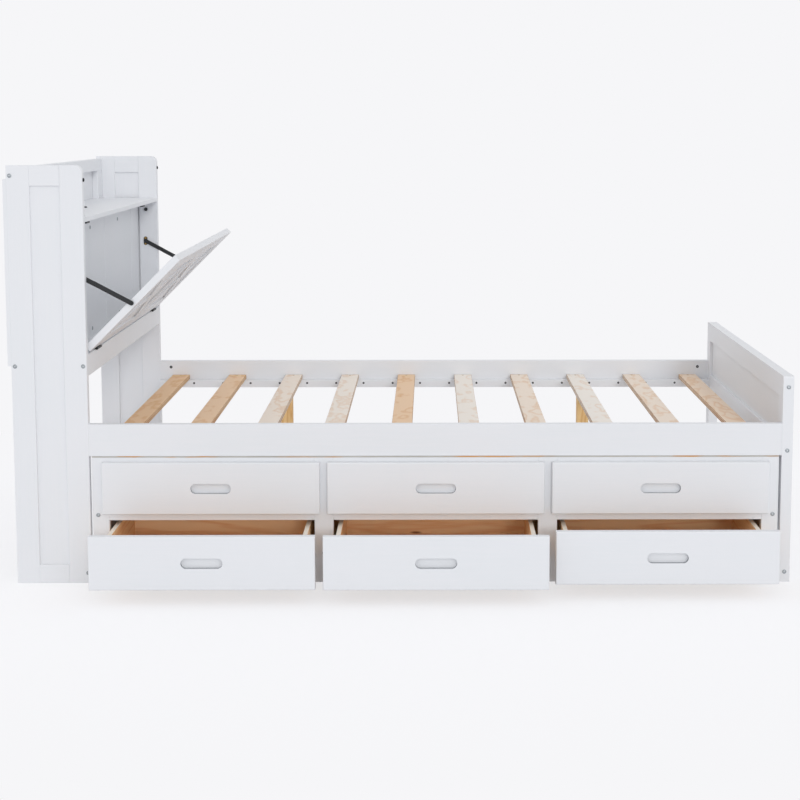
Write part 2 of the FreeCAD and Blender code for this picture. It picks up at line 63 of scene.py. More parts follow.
# Values between which most of a noise lies
NOISE_LOW, NOISE_HIGH = 0.3, 0.7
Limits = tuple[Vector, Vector]
Source = Union[bpy.types.Node, bpy.types.NodeSocket]


class Axis(Enum):
    """A direction of the bed: along it, across it, or upright."""

    X = 0
    Y = 1
    Z = 2


class Outline(Enum):
    """The plan of one ring of a turned head."""

    ROUND = "round"
    HEX = "hex"
    CROSS = "cross"
    SLOT = "slot"


# Small helpers


def hex_colour(code: str) -> tuple[float, float, float, float]:
    """Turns an sRGB hex colour to linear RGBA.

    Args:
        code: Six hex digits, with or without a leading hash.

    Returns:
        The linear colour with full alpha.
    """
    digits = code.lstrip("#")
    parts = [int(digits[i:i + 2], 16) / 255 for i in (0, 2, 4)]
    linear = [p / 12.92 if p <= 0.04045 else ((p + 0.055) / 1.055) ** 2.4 for p in parts]
    return (linear[0], linear[1], linear[2], 1.0)


def add_node(tree: bpy.types.NodeTree, kind: str, inputs: Optional[dict[Union[str, int], Any]] = None,
             **settings: Any) -> bpy.types.Node:
    """Adds a node, sets it up and links it.

    Args:
        tree: The node tree that takes the node.
        kind: The node's type name.
        inputs: Values, source sockets, or nodes for their first output, by input name or number.
        **settings: Properties of the node itself.

    Returns:
        The new node.
    """
    node = tree.nodes.new(kind)
    for name, value in settings.items():
        setattr(node, name, value)
    for key, value in (inputs or {}).items():
        if isinstance(value, bpy.types.Node):
            value = value.outputs[0]
        if isinstance(value, bpy.types.NodeSocket):
            tree.links.new(value, node.inputs[key])
        else:
            node.inputs[key].default_value = value
    return node


def solid_boxes(node: str, undo: Optional[Matrix] = None) -> list[Limits]:
    """Finds the separate solids of a CAD node.

    Args:
        node: The CAD node's name.
        undo: A turn to make first, where the boxes are wanted in another pose.

    Returns:
        The lowest and highest corner of each solid, sorted by place, in metres.
    """
    shell = bmesh.new()
    shell.from_mesh(frame["nodes"][node].data)
    if undo:
        shell.transform(undo)
    bmesh.ops.remove_doubles(shell, verts=shell.verts, dist=SAME_PLACE)
    todo = set(shell.verts)
    boxes: list[Limits] = []
    while todo:
        island, edge_of_search = set(), [todo.pop()]
        while edge_of_search:
            vert = edge_of_search.pop()
            island.add(vert)
            for edge in vert.link_edges:
                other = edge.other_vert(vert)
                if other in todo:
                    todo.discard(other)
                    edge_of_search.append(other)
        corners = [[v.co[i] for v in island] for i in range(3)]
        boxes.append((Vector([min(c) for c in corners]), Vector([max(c) for c in corners])))
    shell.free()
    return sorted(boxes, key=lambda box: tuple(round(c, 5) for c in box[0]))


def dress(nodes: Iterable[str], finish: "Finish") -> None:
    """Gives CAD nodes a finish through their material slots.

    Args:
        nodes: The nodes' names.
        finish: The finish that they take.
    """
    for name in nodes:
        part = frame["nodes"][name]
        if not part.material_slots:
            part.data.materials.append(None)
        for slot in part.material_slots:
            slot.material = finish.material()
        log.info("dressed %s with %s", name, finish.name)


def seat(piece: bpy.types.Object, body: str, slot: str, *stands_for: str) -> bpy.types.Object:
    """Hangs a finished piece on its body and says what it is.

    Args:
        piece: The finished object.
        body: The CAD body that it rides on.
        slot: The record's material slot; not used.
        *stands_for: CAD nodes that it replaces.

    Returns:
        The same object.
    """
    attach(piece, body)
    if stands_for:
        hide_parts(*stands_for)
    log.info("made %s on %s, %d faces", piece.name, body, len(piece.data.polygons))
    return piece


def new_object(name: str, mesh: bpy.types.Mesh) -> bpy.types.Object:
    """Links a mesh into the scene as an object at the origin.

    Args:
        name: The object's name.
        mesh: Its mesh.

    Returns:
        The new object.
    """
    piece = bpy.data.objects.new(name, mesh)
    bpy.context.scene.collection.objects.link(piece)
    return piece


# Finishes


@dataclass(frozen=True)
class Finish:
    """A named surface that becomes a material."""

    name: str

    def material(self) -> bpy.types.Material:
        """Builds the material at its first use and finds it again later.

        Returns:
            The material of this finish.
        """
        known = bpy.data.materials.get(self.name)
        if known:
            return known
        made = bpy.data.materials.new(self.name)
        made.use_nodes = True
        made.node_tree.nodes.clear()
        shader = self.surface(made.node_tree)
        add_node(made.node_tree, "ShaderNodeOutputMaterial", {"Surface": shader})
        return made

    def surface(self, tree: bpy.types.NodeTree) -> bpy.types.Node:
        """Builds the shader; each kind of finish has its own.

        Args:
            tree: The material's node tree.

        Returns:
            The shader node.
        """
        raise NotImplementedError


def stretched(tree: bpy.types.NodeTree, place: Source, along: Axis, long_mm: float,
              wide_mm: float) -> Source:
    """Scales coordinates so that one unit is a fibre's length along the grain and its width across it.

    Args:
        tree: The material's node tree.
        place: The coordinates in metres.
        along: The direction of the grain.
        long_mm: Length of a figure along the grain.
        wide_mm: Width of a figure across the grain.

    Returns:
        The stretched coordinates.
    """
    scale = [1000 / wide_mm] * 3
    scale[along.value] = 1000 / long_mm
    return add_node(tree, "ShaderNodeMapping", {"Vector": place, "Scale": scale})


def looking(tree: bpy.types.NodeTree, axis: Axis, both_ways: bool = True) -> Source:
    """Marks the faces that look along an axis.

    Args:
        tree: The material's node tree.
        axis: The axis.
        both_ways: Whether faces that look back along it count too.

    Returns:
        One on those faces and zero elsewhere.
    """
    normal = add_node(tree, "ShaderNodeTexCoord").outputs["Normal"]
    part: Source = add_node(tree, "ShaderNodeSeparateXYZ", {0: normal}).outputs[axis.name]
    if both_ways:
        part = add_node(tree, "ShaderNodeMath", {0: part}, operation="ABSOLUTE")
    return add_node(tree, "ShaderNodeMath", {0: part, 1: STEEP}, operation="GREATER_THAN")


@dataclass(frozen=True)
class SprayedEnamel(Finish):
    """Satin enamel sprayed on sanded pine and fibreboard.

    It gives an even cool white with a low sheen, a faint telegraphed grain and a trace of spray texture.
    """

    colour: str = "#E8E9EC"
    shade: str = "#E6E8EB"
    along: Axis = Axis.Z
    turn: float = 0.0
    sheen_low: float = 0.36
    sheen_high: float = 0.50
    fibre_long: float = 130.0
    fibre_wide: float = 5.0
    cloud: float = 240.0
    # Spray texture is under 1 mm on the real paint, and is drawn at 4 mm so that it shows
    peel: float = 4.0
    # Product of two noises between which the paint goes from its colour to its shade
    uneven_from: float = 0.14
    uneven_to: float = 0.38
    fibre_relief: float = 0.3
    relief: float = 0.015
    relief_height: float = 0.3
    ior: float = 1.48

    def surface(self, tree: bpy.types.NodeTree) -> bpy.types.Node:
        """Builds the paint with its grain, clouding and spray texture.

        Args:
            tree: The material's node tree.

        Returns:
            The shader node.
        """
        place = add_node(tree, "ShaderNodeTexCoord").outputs["Object"]
        turned = add_node(tree, "ShaderNodeVectorRotate", {"Vector": place, "Angle": math.radians(self.turn)},
                          rotation_type="Y_AXIS")
        fibre = add_node(tree, "ShaderNodeTexNoise",
                         {"Vector": stretched(tree, turned, self.along, self.fibre_long, self.fibre_wide),
                          "Scale": 1.0, "Detail": 3.0, "Roughness": 0.6})
        cloud = add_node(tree, "ShaderNodeTexNoise",
                         {"Vector": place, "Scale": 1000 / self.cloud, "Detail": 2.0})
        peel = add_node(tree, "ShaderNodeTexNoise",
                        {"Vector": place, "Scale": 1000 / self.peel, "Detail": 1.0})
        uneven = add_node(tree, "ShaderNodeMath", {0: cloud, 1: fibre}, operation="MULTIPLY")
        share = add_node(tree, "ShaderNodeMapRange",
                         {"Value": uneven, "From Min": self.uneven_from, "From Max": self.uneven_to})
        paint = add_node(tree, "ShaderNodeMix", {0: share, 6: hex_colour(self.colour), 7: hex_colour(self.shade)},
                         data_type="RGBA").outputs[2]
        colour = self.skin(tree, turned, paint)
        sheen = add_node(tree, "ShaderNodeMapRange",
                         {"Value": peel, "From Min": NOISE_LOW, "From Max": NOISE_HIGH, "To Min": self.sheen_low,
                          "To Max": self.sheen_high})
        relief = add_node(tree, "ShaderNodeMath", {0: fibre, 1: self.fibre_relief, 2: peel},
                          operation="MULTIPLY_ADD")
        bump = add_node(tree, "ShaderNodeBump",
                        {"Strength": self.relief, "Distance": self.relief_height * MM, "Height": relief})
        return add_node(tree, "ShaderNodeBsdfPrincipled",
                        {"Base Color": colour, "Roughness": sheen, "Normal": bump, "IOR": self.ior})

    def skin(self, tree: bpy.types.NodeTree, turned: Source,
             paint: Source) -> Source:
        """Lets a kind of paint change its colour; this one covers everything."""
        return paint


@dataclass(frozen=True)
class ThinEnamel(SprayedEnamel):
    """The same enamel where the spray was thin, on the edges of strips.

    It gives patches of raw orange pine between streaks of white.
    """

    wood: str = "#CE9A62"
    patch_long: float = 90.0
    patch_wide: float = 14.0
    # Noise values between which the paint gives way to wood
    bare_from: float = 0.46
    bare_to: float = 0.58
    edges_only: bool = False
    # Part of a face's normal through the strip above which it is a broad face and no edge
    broad_from: float = 0.5

    def skin(self, tree: bpy.types.NodeTree, turned: Source,
             paint: Source) -> Source:
        """Mixes bare wood into the paint in patches, on a strip's edges alone or all over.

        Args:
            tree: The material's node tree.
            turned: Coordinates that follow the board.
            paint: The paint's colour.

        Returns:
            The mixed colour.
        """
        patch = add_node(tree, "ShaderNodeTexNoise",
                         {"Vector": stretched(tree, turned, self.along, self.patch_long, self.patch_wide),
                          "Scale": 1.0, "Detail": 3.0})
        bare = add_node(tree, "ShaderNodeMapRange",
                        {"Value": patch, "From Min": self.bare_from, "From Max": self.bare_to})
        if self.edges_only:
            normal = add_node(tree, "ShaderNodeTexCoord").outputs["Normal"]
            level = add_node(tree, "ShaderNodeVectorRotate", {"Vector": normal, "Angle": math.radians(self.turn)},
                             rotation_type="Y_AXIS")
            face = add_node(tree, "ShaderNodeSeparateXYZ", {0: level}).outputs["X"]
            flat = add_node(tree, "ShaderNodeMath", {0: face}, operation="ABSOLUTE")
            edge = add_node(tree, "ShaderNodeMath", {0: flat, 1: self.broad_from}, operation="LESS_THAN")
            bare = add_node(tree, "ShaderNodeMath", {0: bare, 1: edge}, operation="MULTIPLY")
        return add_node(tree, "ShaderNodeMix", {0: bare, 6: paint, 7: hex_colour(self.wood)},
                        data_type="RGBA").outputs[2]


@dataclass(frozen=True)
class SlottedEnamel(SprayedEnamel):
    """The same enamel on a drawer front, with a finger slot routed into it.

    It paints the slot's wall greyer, as painted shade standing in for the shade inside the recess.
    """

    # Painted shade: the grey that the slot's wall takes, standing in for the shade inside the slot
    wall: str = "#A6A9AD"
    # Middle of the front in world mm, and how far from it the wall may lie
    middle_x: float = 0.0
    middle_z: float = 0.0
    reach_x: float = 64.0
    reach_z: float = 20.0
    # Part of a face's normal to the front up to which it belongs to the wall
    most_forward: float = 0.6

    def skin(self, tree: bpy.types.NodeTree, turned: Source,
             paint: Source) -> Source:
        """Greys the faces near the front's middle that don't look forward, as painted shade on the slot's wall.

        Args:
            tree: The material's node tree.
            turned: Coordinates that follow the board.
            paint: The paint's colour.

        Returns:
            The mixed colour.
        """
        coordinates = add_node(tree, "ShaderNodeTexCoord").outputs
        place = add_node(tree, "ShaderNodeSeparateXYZ", {0: coordinates["Object"]}).outputs
        normal = add_node(tree, "ShaderNodeSeparateXYZ", {0: coordinates["Normal"]}).outputs
        limits = ((place["X"], self.middle_x * MM, self.reach_x * MM),
                  (place["Z"], self.middle_z * MM, self.reach_z * MM), (normal["Y"], 0.0, self.most_forward))
        inside, *others = [add_node(tree, "ShaderNodeMath", {0: value, 1: middle, 2: reach}, operation="COMPARE")
                           for value, middle, reach in limits]
        for near in others:
            inside = add_node(tree, "ShaderNodeMath", {0: inside, 1: near}, operation="MULTIPLY")
        # Painted shade on the slot's wall
        return add_node(tree, "ShaderNodeMix", {0: inside, 6: paint, 7: hex_colour(self.wall)},
                        data_type="RGBA").outputs[2]


@dataclass(frozen=True)
class SawnPine(Finish):
    """Planed, unpainted softwood.

    It gives pale early wood, orange late-wood figure, fine fibres and a few small knots, dry and hardly glossy.
    """

    pale: str = "#E6D2B4"
    figure: str = "#C68D52"
    knot: str = "#7A4A25"
    along: Axis = Axis.Y
    figure_long: float = 150.0
    figure_wide: float = 17.0
    fibre_long: float = 60.0
    fibre_wide: float = 2.2
    knot_long: float = 430.0
    knot_wide: float = 90.0
    knot_size: float = 0.07
    strength: float = 0.75
    # Faces that look along the grain belong to boards that cross the others, so their grain runs across
    crossed: bool = False
    # Bands of late wood between the palest and the darkest place of one figure
    bands: float = 9.0
    # Thickness of the layers that show on the long edges of plywood, and the colour of every other layer
    ply: float = 0.0
    ply_colour: str = "#A98258"
    # A board's own tone, from pale to orange, where the mesh carries one
    toned: bool = False
    toned_colour: str = "#DDBE96"
    # Colour of the edges that look up, painted paler than the faces as a painted highlight of the light from above,
    # and the height they start at
    painted_top_highlight: str = ""
    edge_above: float = 0.0
    roughness: float = 0.62
    roughness_spread: float = 0.1
    # Scale of the slow sway that bends the figure, and the share of a band where late wood starts
    sway: float = 0.45
    late_from: float = 0.45
    # Noise values of the fibres, and the strength that they give the figure
    fibre_noise: tuple[float, float] = (0.3, 0.75)
    fibre_strength: tuple[float, float] = (0.45, 1.25)
    # Share of the figure that the palest board keeps
    least_figure: float = 0.45
    knot_core: float = 0.35
    knot_depth: float = 0.85
    relief: float = 0.25
    relief_height: float = 0.3
    ior: float = 1.45

    def surface(self, tree: bpy.types.NodeTree) -> bpy.types.Node:
        """Builds the wood with its figure, fibres and knots.

        Args:
            tree: The material's node tree.

        Returns:
            The shader node.
        """
        place = add_node(tree, "ShaderNodeTexCoord").outputs["Object"]
        if self.crossed:
            cross = looking(tree, Axis.X)
            part = add_node(tree, "ShaderNodeSeparateXYZ", {0: place}).outputs
            swapped = add_node(tree, "ShaderNodeCombineXYZ", {"X": part["Y"], "Y": part["X"], "Z": part["Z"]})
            place = add_node(tree, "ShaderNodeMix", {0: cross, 4: place, 5: swapped},
                             data_type="VECTOR").outputs[1]
        broad = stretched(tree, place, self.along, self.figure_long, self.figure_wide)
        sway = add_node(tree, "ShaderNodeTexNoise", {"Vector": broad, "Scale": self.sway, "Detail": 2.0})
        rings = add_node(tree, "ShaderNodeMath", {0: sway, 1: self.bands}, operation="MULTIPLY")
        wave = add_node(tree, "ShaderNodeMath", {0: rings, 1: 1.0}, operation="PINGPONG")
        late = add_node(tree, "ShaderNodeMapRange",
                        {"Value": wave, "From Min": self.late_from, "From Max": 1.0, "To Max": self.strength},
                        interpolation_type="SMOOTHSTEP")
        fibre = add_node(tree, "ShaderNodeTexNoise",
                         {"Vector": stretched(tree, place, self.along, self.fibre_long, self.fibre_wide),
                          "Scale": 1.0, "Detail": 4.0, "Roughness": 0.65})
        fine = add_node(tree, "ShaderNodeMapRange",
                        {"Value": fibre, "From Min": self.fibre_noise[0], "From Max": self.fibre_noise[1],
                         "To Min": self.fibre_strength[0], "To Max": self.fibre_strength[1]})
        amount = add_node(tree, "ShaderNodeMath", {0: late, 1: fine}, operation="MULTIPLY", use_clamp=True)
        body: Any = hex_colour(self.pale)
        if self.toned:
            tone = add_node(tree, "ShaderNodeAttribute", attribute_name="tone").outputs["Fac"]
            drawn = add_node(tree, "ShaderNodeMapRange", {"Value": tone, "To Min": self.least_figure, "To Max": 1.0})
            amount = add_node(tree, "ShaderNodeMath", {0: amount, 1: drawn}, operation="MULTIPLY")
            body = add_node(tree, "ShaderNodeMix", {0: tone, 6: body, 7: hex_colour(self.toned_colour)},
                            data_type="RGBA").outputs[2]
        wood = add_node(tree, "ShaderNodeMix", {0: amount, 6: body, 7: hex_colour(self.figure)},
                        data_type="RGBA").outputs[2]
        spot = add_node(tree, "ShaderNodeTexVoronoi",
                        {"Vector": stretched(tree, place, self.along, self.knot_long, self.knot_wide), "Scale": 1.0},
                        feature="F1").outputs["Distance"]
        core = add_node(tree, "ShaderNodeMapRange",
                        {"Value": spot, "From Min": self.knot_size * self.knot_core, "From Max": self.knot_size,
                         "To Min": self.knot_depth, "To Max": 0.0})
        colour = add_node(tree, "ShaderNodeMix", {0: core, 6: wood, 7: hex_colour(self.knot)},
                          data_type="RGBA").outputs[2]
        # Painted highlight: faces that look up above the given height take the paler colour, standing in for light
        # falling from above
        if self.painted_top_highlight:
            height = add_node(tree, "ShaderNodeSeparateXYZ", {0: place}).outputs["Z"]
            level = looking(tree, Axis.Z, both_ways=False)
            high = add_node(tree, "ShaderNodeMath", {0: height, 1: self.edge_above * MM},
                            operation="GREATER_THAN")
            top = add_node(tree, "ShaderNodeMath", {0: level, 1: high}, operation="MULTIPLY")
            colour = add_node(tree, "ShaderNodeMix", {0: top, 6: colour, 7: hex_colour(self.painted_top_highlight)},
                              data_type="RGBA").outputs[2]
        if self.ply:
            edge = looking(tree, Axis.X)
            height = add_node(tree, "ShaderNodeSeparateXYZ", {0: place}).outputs["Z"]
            layer = add_node(tree, "ShaderNodeMath", {0: height, 1: self.ply * MM}, operation="PINGPONG")
            dark = add_node(tree, "ShaderNodeMath", {0: layer, 1: self.ply * MM / 2},
                            operation="GREATER_THAN")
            shown = add_node(tree, "ShaderNodeMath", {0: edge, 1: dark}, operation="MULTIPLY")
            colour = add_node(tree, "ShaderNodeMix", {0: shown, 6: colour, 7: hex_colour(self.ply_colour)},
                              data_type="RGBA").outputs[2]
        rough = add_node(tree, "ShaderNodeMapRange",
                         {"Value": fibre, "To Min": self.roughness - self.roughness_spread,
                          "To Max": self.roughness + self.roughness_spread})
        bump = add_node(tree, "ShaderNodeBump",
                        {"Strength": self.relief, "Distance": self.relief_height * MM, "Height": fibre})
        return add_node(tree, "ShaderNodeBsdfPrincipled",
                        {"Base Color": colour, "Roughness": rough, "Normal": bump, "IOR": self.ior})


@dataclass(frozen=True)
class PlatedMetal(Finish):
    """Steel or brass with a plated or rolled skin.

    It gives a grey or yellow glint, broken by faint clouds of brighter and duller plating.
    """

    colour: str = "#B9BDC3"
    dull: str = "#8E949B"
    smooth: float = 0.26
    rough: float = 0.46
    cloud: float = 5.0

    def surface(self, tree: bpy.types.NodeTree) -> bpy.types.Node:
        """Builds the metal with its clouded plating.

        Args:
            tree: The material's node tree.

        Returns:
            The shader node.
        """
        place = add_node(tree, "ShaderNodeTexCoord").outputs["Object"]
        cloud = add_node(tree, "ShaderNodeTexNoise",
                         {"Vector": place, "Scale": 1000 / self.cloud, "Detail": 4.0, "Roughness": 0.6})
        colour = add_node(tree, "ShaderNodeMix", {0: cloud, 6: hex_colour(self.dull), 7: hex_colour(self.colour)},
                          data_type="RGBA").outputs[2]
        rough = add_node(tree, "ShaderNodeMapRange",
                         {"Value": cloud, "From Min": NOISE_LOW, "From Max": NOISE_HIGH, "To Min": self.rough,
                          "To Max": self.smooth})
        return add_node(tree, "ShaderNodeBsdfPrincipled",
                        {"Base Color": colour, "Metallic": 1.0, "Roughness": rough})


@dataclass(frozen=True)
class GrainedSkin(Finish):
    """A coat or moulding with one colour and a fine tooth, such as powder coat, nylon or moulded plastic.

    It gives a soft sheen that breaks up on small pits, with a slightly lighter tone where the tooth stands up.
    """

    colour: str = "#17181A"
    lighter: str = "#232528"
    tooth: float = 1.6
    smooth: float = 0.38
    rough: float = 0.55
    relief: float = 0.2
    relief_height: float = 0.2
    ior: float = 1.5

    def surface(self, tree: bpy.types.NodeTree) -> bpy.types.Node:
        """Builds the coat with its tooth.

        Args:
            tree: The material's node tree.

        Returns:
            The shader node.
        """
        place = add_node(tree, "ShaderNodeTexCoord").outputs["Object"]
        tooth = add_node(tree, "ShaderNodeTexNoise",
                         {"Vector": place, "Scale": 1000 / self.tooth, "Detail": 3.0})
        colour = add_node(tree, "ShaderNodeMix", {0: tooth, 6: hex_colour(self.colour), 7: hex_colour(self.lighter)},
                          data_type="RGBA").outputs[2]
        rough = add_node(tree, "ShaderNodeMapRange",
                         {"Value": tooth, "From Min": NOISE_LOW, "From Max": NOISE_HIGH, "To Min": self.smooth,
                          "To Max": self.rough})
        bump = add_node(tree, "ShaderNodeBump",
                        {"Strength": self.relief, "Distance": self.relief_height * MM, "Height": tooth})
        return add_node(tree, "ShaderNodeBsdfPrincipled",
                        {"Base Color": colour, "Roughness": rough, "Normal": bump, "IOR": self.ior})


PAINT = {axis: SprayedEnamel(f"sprayed_white_enamel_{axis.name.lower()}", along=axis) for axis in Axis}
FLAP_PAINT = SprayedEnamel("sprayed_white_enamel_flap", along=Axis.Z, turn=-45.0)
BRACE_PAINT = ThinEnamel("thin_white_enamel_on_braces", along=Axis.Y, turn=-45.0, edges_only=True, bare_from=0.6,
                         bare_to=0.75, wood="#C9A47C")
# Drawer fronts, with painted shade on the walls of their finger slots
FRONT_PAINT = SlottedEnamel("sprayed_white_enamel_front", along=Axis.X)
# The strip in the gap under the side rail: its greys are painted shade, standing in for the rail's shadow; its
# orange patches are bare pine where the spray missed
SHADED_SPACER_PAINT = ThinEnamel("thin_white_enamel_on_strip", along=Axis.X, colour="#C6C3BD", shade="#B4AFA7",
                          patch_long=120.0, bare_from=0.5, bare_to=0.6)
SLAT_PINE = SawnPine("pine_plywood", toned=True, pale="#F3ECE3", toned_colour="#EABF90", figure="#DBA871",
                     figure_wide=28.0, figure_long=66.0, strength=0.75, bands=8.0, ply=2.7)
LEG_PINE = SawnPine("planed_yellow_pine", pale="#F4CE93", figure="#D89F5C", along=Axis.Z)
CLEAT_PINE = SawnPine("sawn_cleat_pine", pale="#F0D6B0", figure="#D8AC78", along=Axis.Y)
# Drawer boxes, whose up-facing rim edges carry a painted highlight
DRAWER_PINE = SawnPine("waxed_drawer_pine", pale="#FFDAAE", figure="#EDB47F", along=Axis.X, figure_wide=22.0,
                       figure_long=240.0, knot_size=0.05, roughness=0.5, painted_top_highlight="#F4EADB", crossed=True)
POWDER_BLACK = GrainedSkin("black_powder_coat")
MOULDED_BLACK = GrainedSkin("moulded_black_plastic", colour="#141517", lighter="#1E2022", tooth=0.9)
NYLON = GrainedSkin("moulded_white_nylon", colour="#E8E7E1", lighter="#F0EFEA", tooth=2.4, relief=0.08, smooth=0.3,
                    rough=0.42, ior=1.53)
ZINC = PlatedMetal("bright_zinc_plate", colour="#BCC1C4", dull="#92989C")
ROLLED_STEEL = PlatedMetal("zinc_coated_sheet_steel", colour="#B4B8BD", dull="#94999F", smooth=0.4, rough=0.6,
                           cloud=14.0)
YELLOW_ZINC = PlatedMetal("yellow_zinc_plate", colour="#C9A764", dull="#94743C", cloud=3.0)
COPPERED = PlatedMetal("coppered_steel", colour="#A87650", dull="#7A5238", cloud=2.0)
BLACK_OXIDE = PlatedMetal("black_oxide_steel", colour="#3A3B3E", dull="#1D1E20", smooth=0.35, rough=0.5, cloud=3.0)


# Turned heads and rows of fasteners


# Half the width of a recess's arm in radians, and its reach between the arms as a share of the radius
CROSS_ARM, CROSS_WAIST = 0.3, 0.42
SLOT_ARM, SLOT_WAIST = 0.25, 0.3


@dataclass(frozen=True)
class Ring:
    """One ring of a turned head: its radius and height in mm, and its plan."""

    radius: float
    height: float
    plan: Outline = Outline.ROUND

    def reach(self, angle: float) -> float:
        """Finds the ring's radius in one direction.

        Args:
            angle: The direction in radians.

        Returns:
            The radius there, in mm.
        """
        if self.plan is Outline.HEX:
            sixth = math.pi / 3
            return self.radius * math.cos(sixth / 2) / math.cos(angle % sixth - sixth / 2)
        if self.plan is Outline.CROSS:
            off = abs((angle + math.pi / 4) % (math.pi / 2) - math.pi / 4)
            return self.radius if off < CROSS_ARM else self.radius * CROSS_WAIST
        if self.plan is Outline.SLOT:
            off = abs((angle + math.pi / 2) % math.pi - math.pi / 2)
            return self.radius if off < SLOT_ARM else self.radius * SLOT_WAIST
        return self.radius


@dataclass(frozen=True)
class TurnedHead:
    """A small turned part that stands on its own origin and points along +Z."""

    name: str
    rings: tuple[Ring, ...]
    steps: int = 24

    def make(self) -> bpy.types.Object:
        """Builds the head as rings of quads with a closed top and bottom.

        Returns:
            A helper object that the rows copy.
        """
        shell = bmesh.new()
        loops = []
        for ring in self.rings:
            loop = []
            for step in range(self.steps):
                angle = 2 * math.pi * step / self.steps
                reach = ring.reach(angle) * MM
                loop.append(shell.verts.new((reach * math.cos(angle), reach * math.sin(angle), ring.height * MM)))
            loops.append(loop)
        for low, high in zip(loops, loops[1:]):
            for step in range(self.steps):
                nxt = (step + 1) % self.steps
                shell.faces.new((low[step], low[nxt], high[nxt], high[step]))
        shell.faces.new(list(reversed(loops[0])))
        shell.faces.new(loops[-1])
        bmesh.ops.triangulate(shell, faces=[f for f in shell.faces if len(f.verts) > 4])
        mesh = bpy.data.meshes.new(self.name)
        shell.to_mesh(mesh)
        shell.free()
        return new_object(self.name, mesh)


SOCKET_BOLT = TurnedHead("socket_bolt", (
    Ring(6.0, -0.4), Ring(6.0, 0.35), Ring(5.6, 0.9), Ring(4.7, 1.35), Ring(3.6, 1.5), Ring(2.7, 1.5, Outline.HEX),
    Ring(2.6, 0.2, Outline.HEX), Ring(0.9, -0.1)))
BARREL_NUT = TurnedHead("barrel_nut", (
    Ring(5.0, -0.4), Ring(5.0, 0.2), Ring(4.6, 0.4), Ring(3.6, 0.4), Ring(3.4, 0.4, Outline.SLOT),
    Ring(3.2, -0.2, Outline.SLOT), Ring(0.4, -0.25)))
CROSS_SCREW = TurnedHead("cross_screw", (
    Ring(3.6, -0.3), Ring(3.6, 0.12), Ring(3.0, 0.3), Ring(2.2, 0.36), Ring(1.9, 0.36, Outline.CROSS),
    Ring(0.7, -0.2, Outline.CROSS)), steps=20)
ROUND_BOLT = TurnedHead("round_bolt", (
    Ring(5.4, -0.4), Ring(5.4, 1.2), Ring(5.0, 2.4), Ring(4.0, 3.2), Ring(2.9, 3.5), Ring(2.4, 3.5, Outline.HEX),
    Ring(2.3, 1.6, Outline.HEX), Ring(0.8, 1.4)))
RUBBER_BUTTON = TurnedHead("rubber_button", (
    Ring(6.0, -0.3), Ring(6.0, 3.4), Ring(5.6, 4.4), Ring(4.4, 5.0), Ring(1.0, 5.0)))
SHELF_CAP = TurnedHead("shelf_cap", (
    Ring(6.0, -0.3), Ring(6.0, 2.2), Ring(5.2, 3.4), Ring(3.4, 4.0), Ring(1.0, 4.0)))
BRAD = TurnedHead("brad", (Ring(2.0, -0.3), Ring(2.0, 0.1), Ring(1.4, 0.3), Ring(0.4, 0.3)), steps=12)
NYLON_ROLLER = TurnedHead("nylon_roller", (
    Ring(8.4, 0.0), Ring(8.95, 0.5), Ring(9.0, 1.2), Ring(9.0, 5.4), Ring(8.95, 6.0), Ring(8.4, 6.5), Ring(6.6, 6.5),
    Ring(6.2, 5.8), Ring(4.2, 5.8), Ring(3.9, 6.3), Ring(1.0, 6.3)), steps=32)
ROLLER_TYRE = TurnedHead("roller_tyre", (
    Ring(8.6, 0.0), Ring(9.1, 0.5), Ring(9.12, 1.2), Ring(9.12, 7.6), Ring(9.1, 8.2), Ring(8.6, 8.7), Ring(6.6, 8.7),
    Ring(6.2, 8.55), Ring(4.2, 8.55), Ring(3.9, 8.8), Ring(1.0, 8.8)), steps=32)


@dataclass(frozen=True)
class Place:
    """Where a fastener stands, in metres, and which way its head looks."""

    at: Vector
    facing: Vector


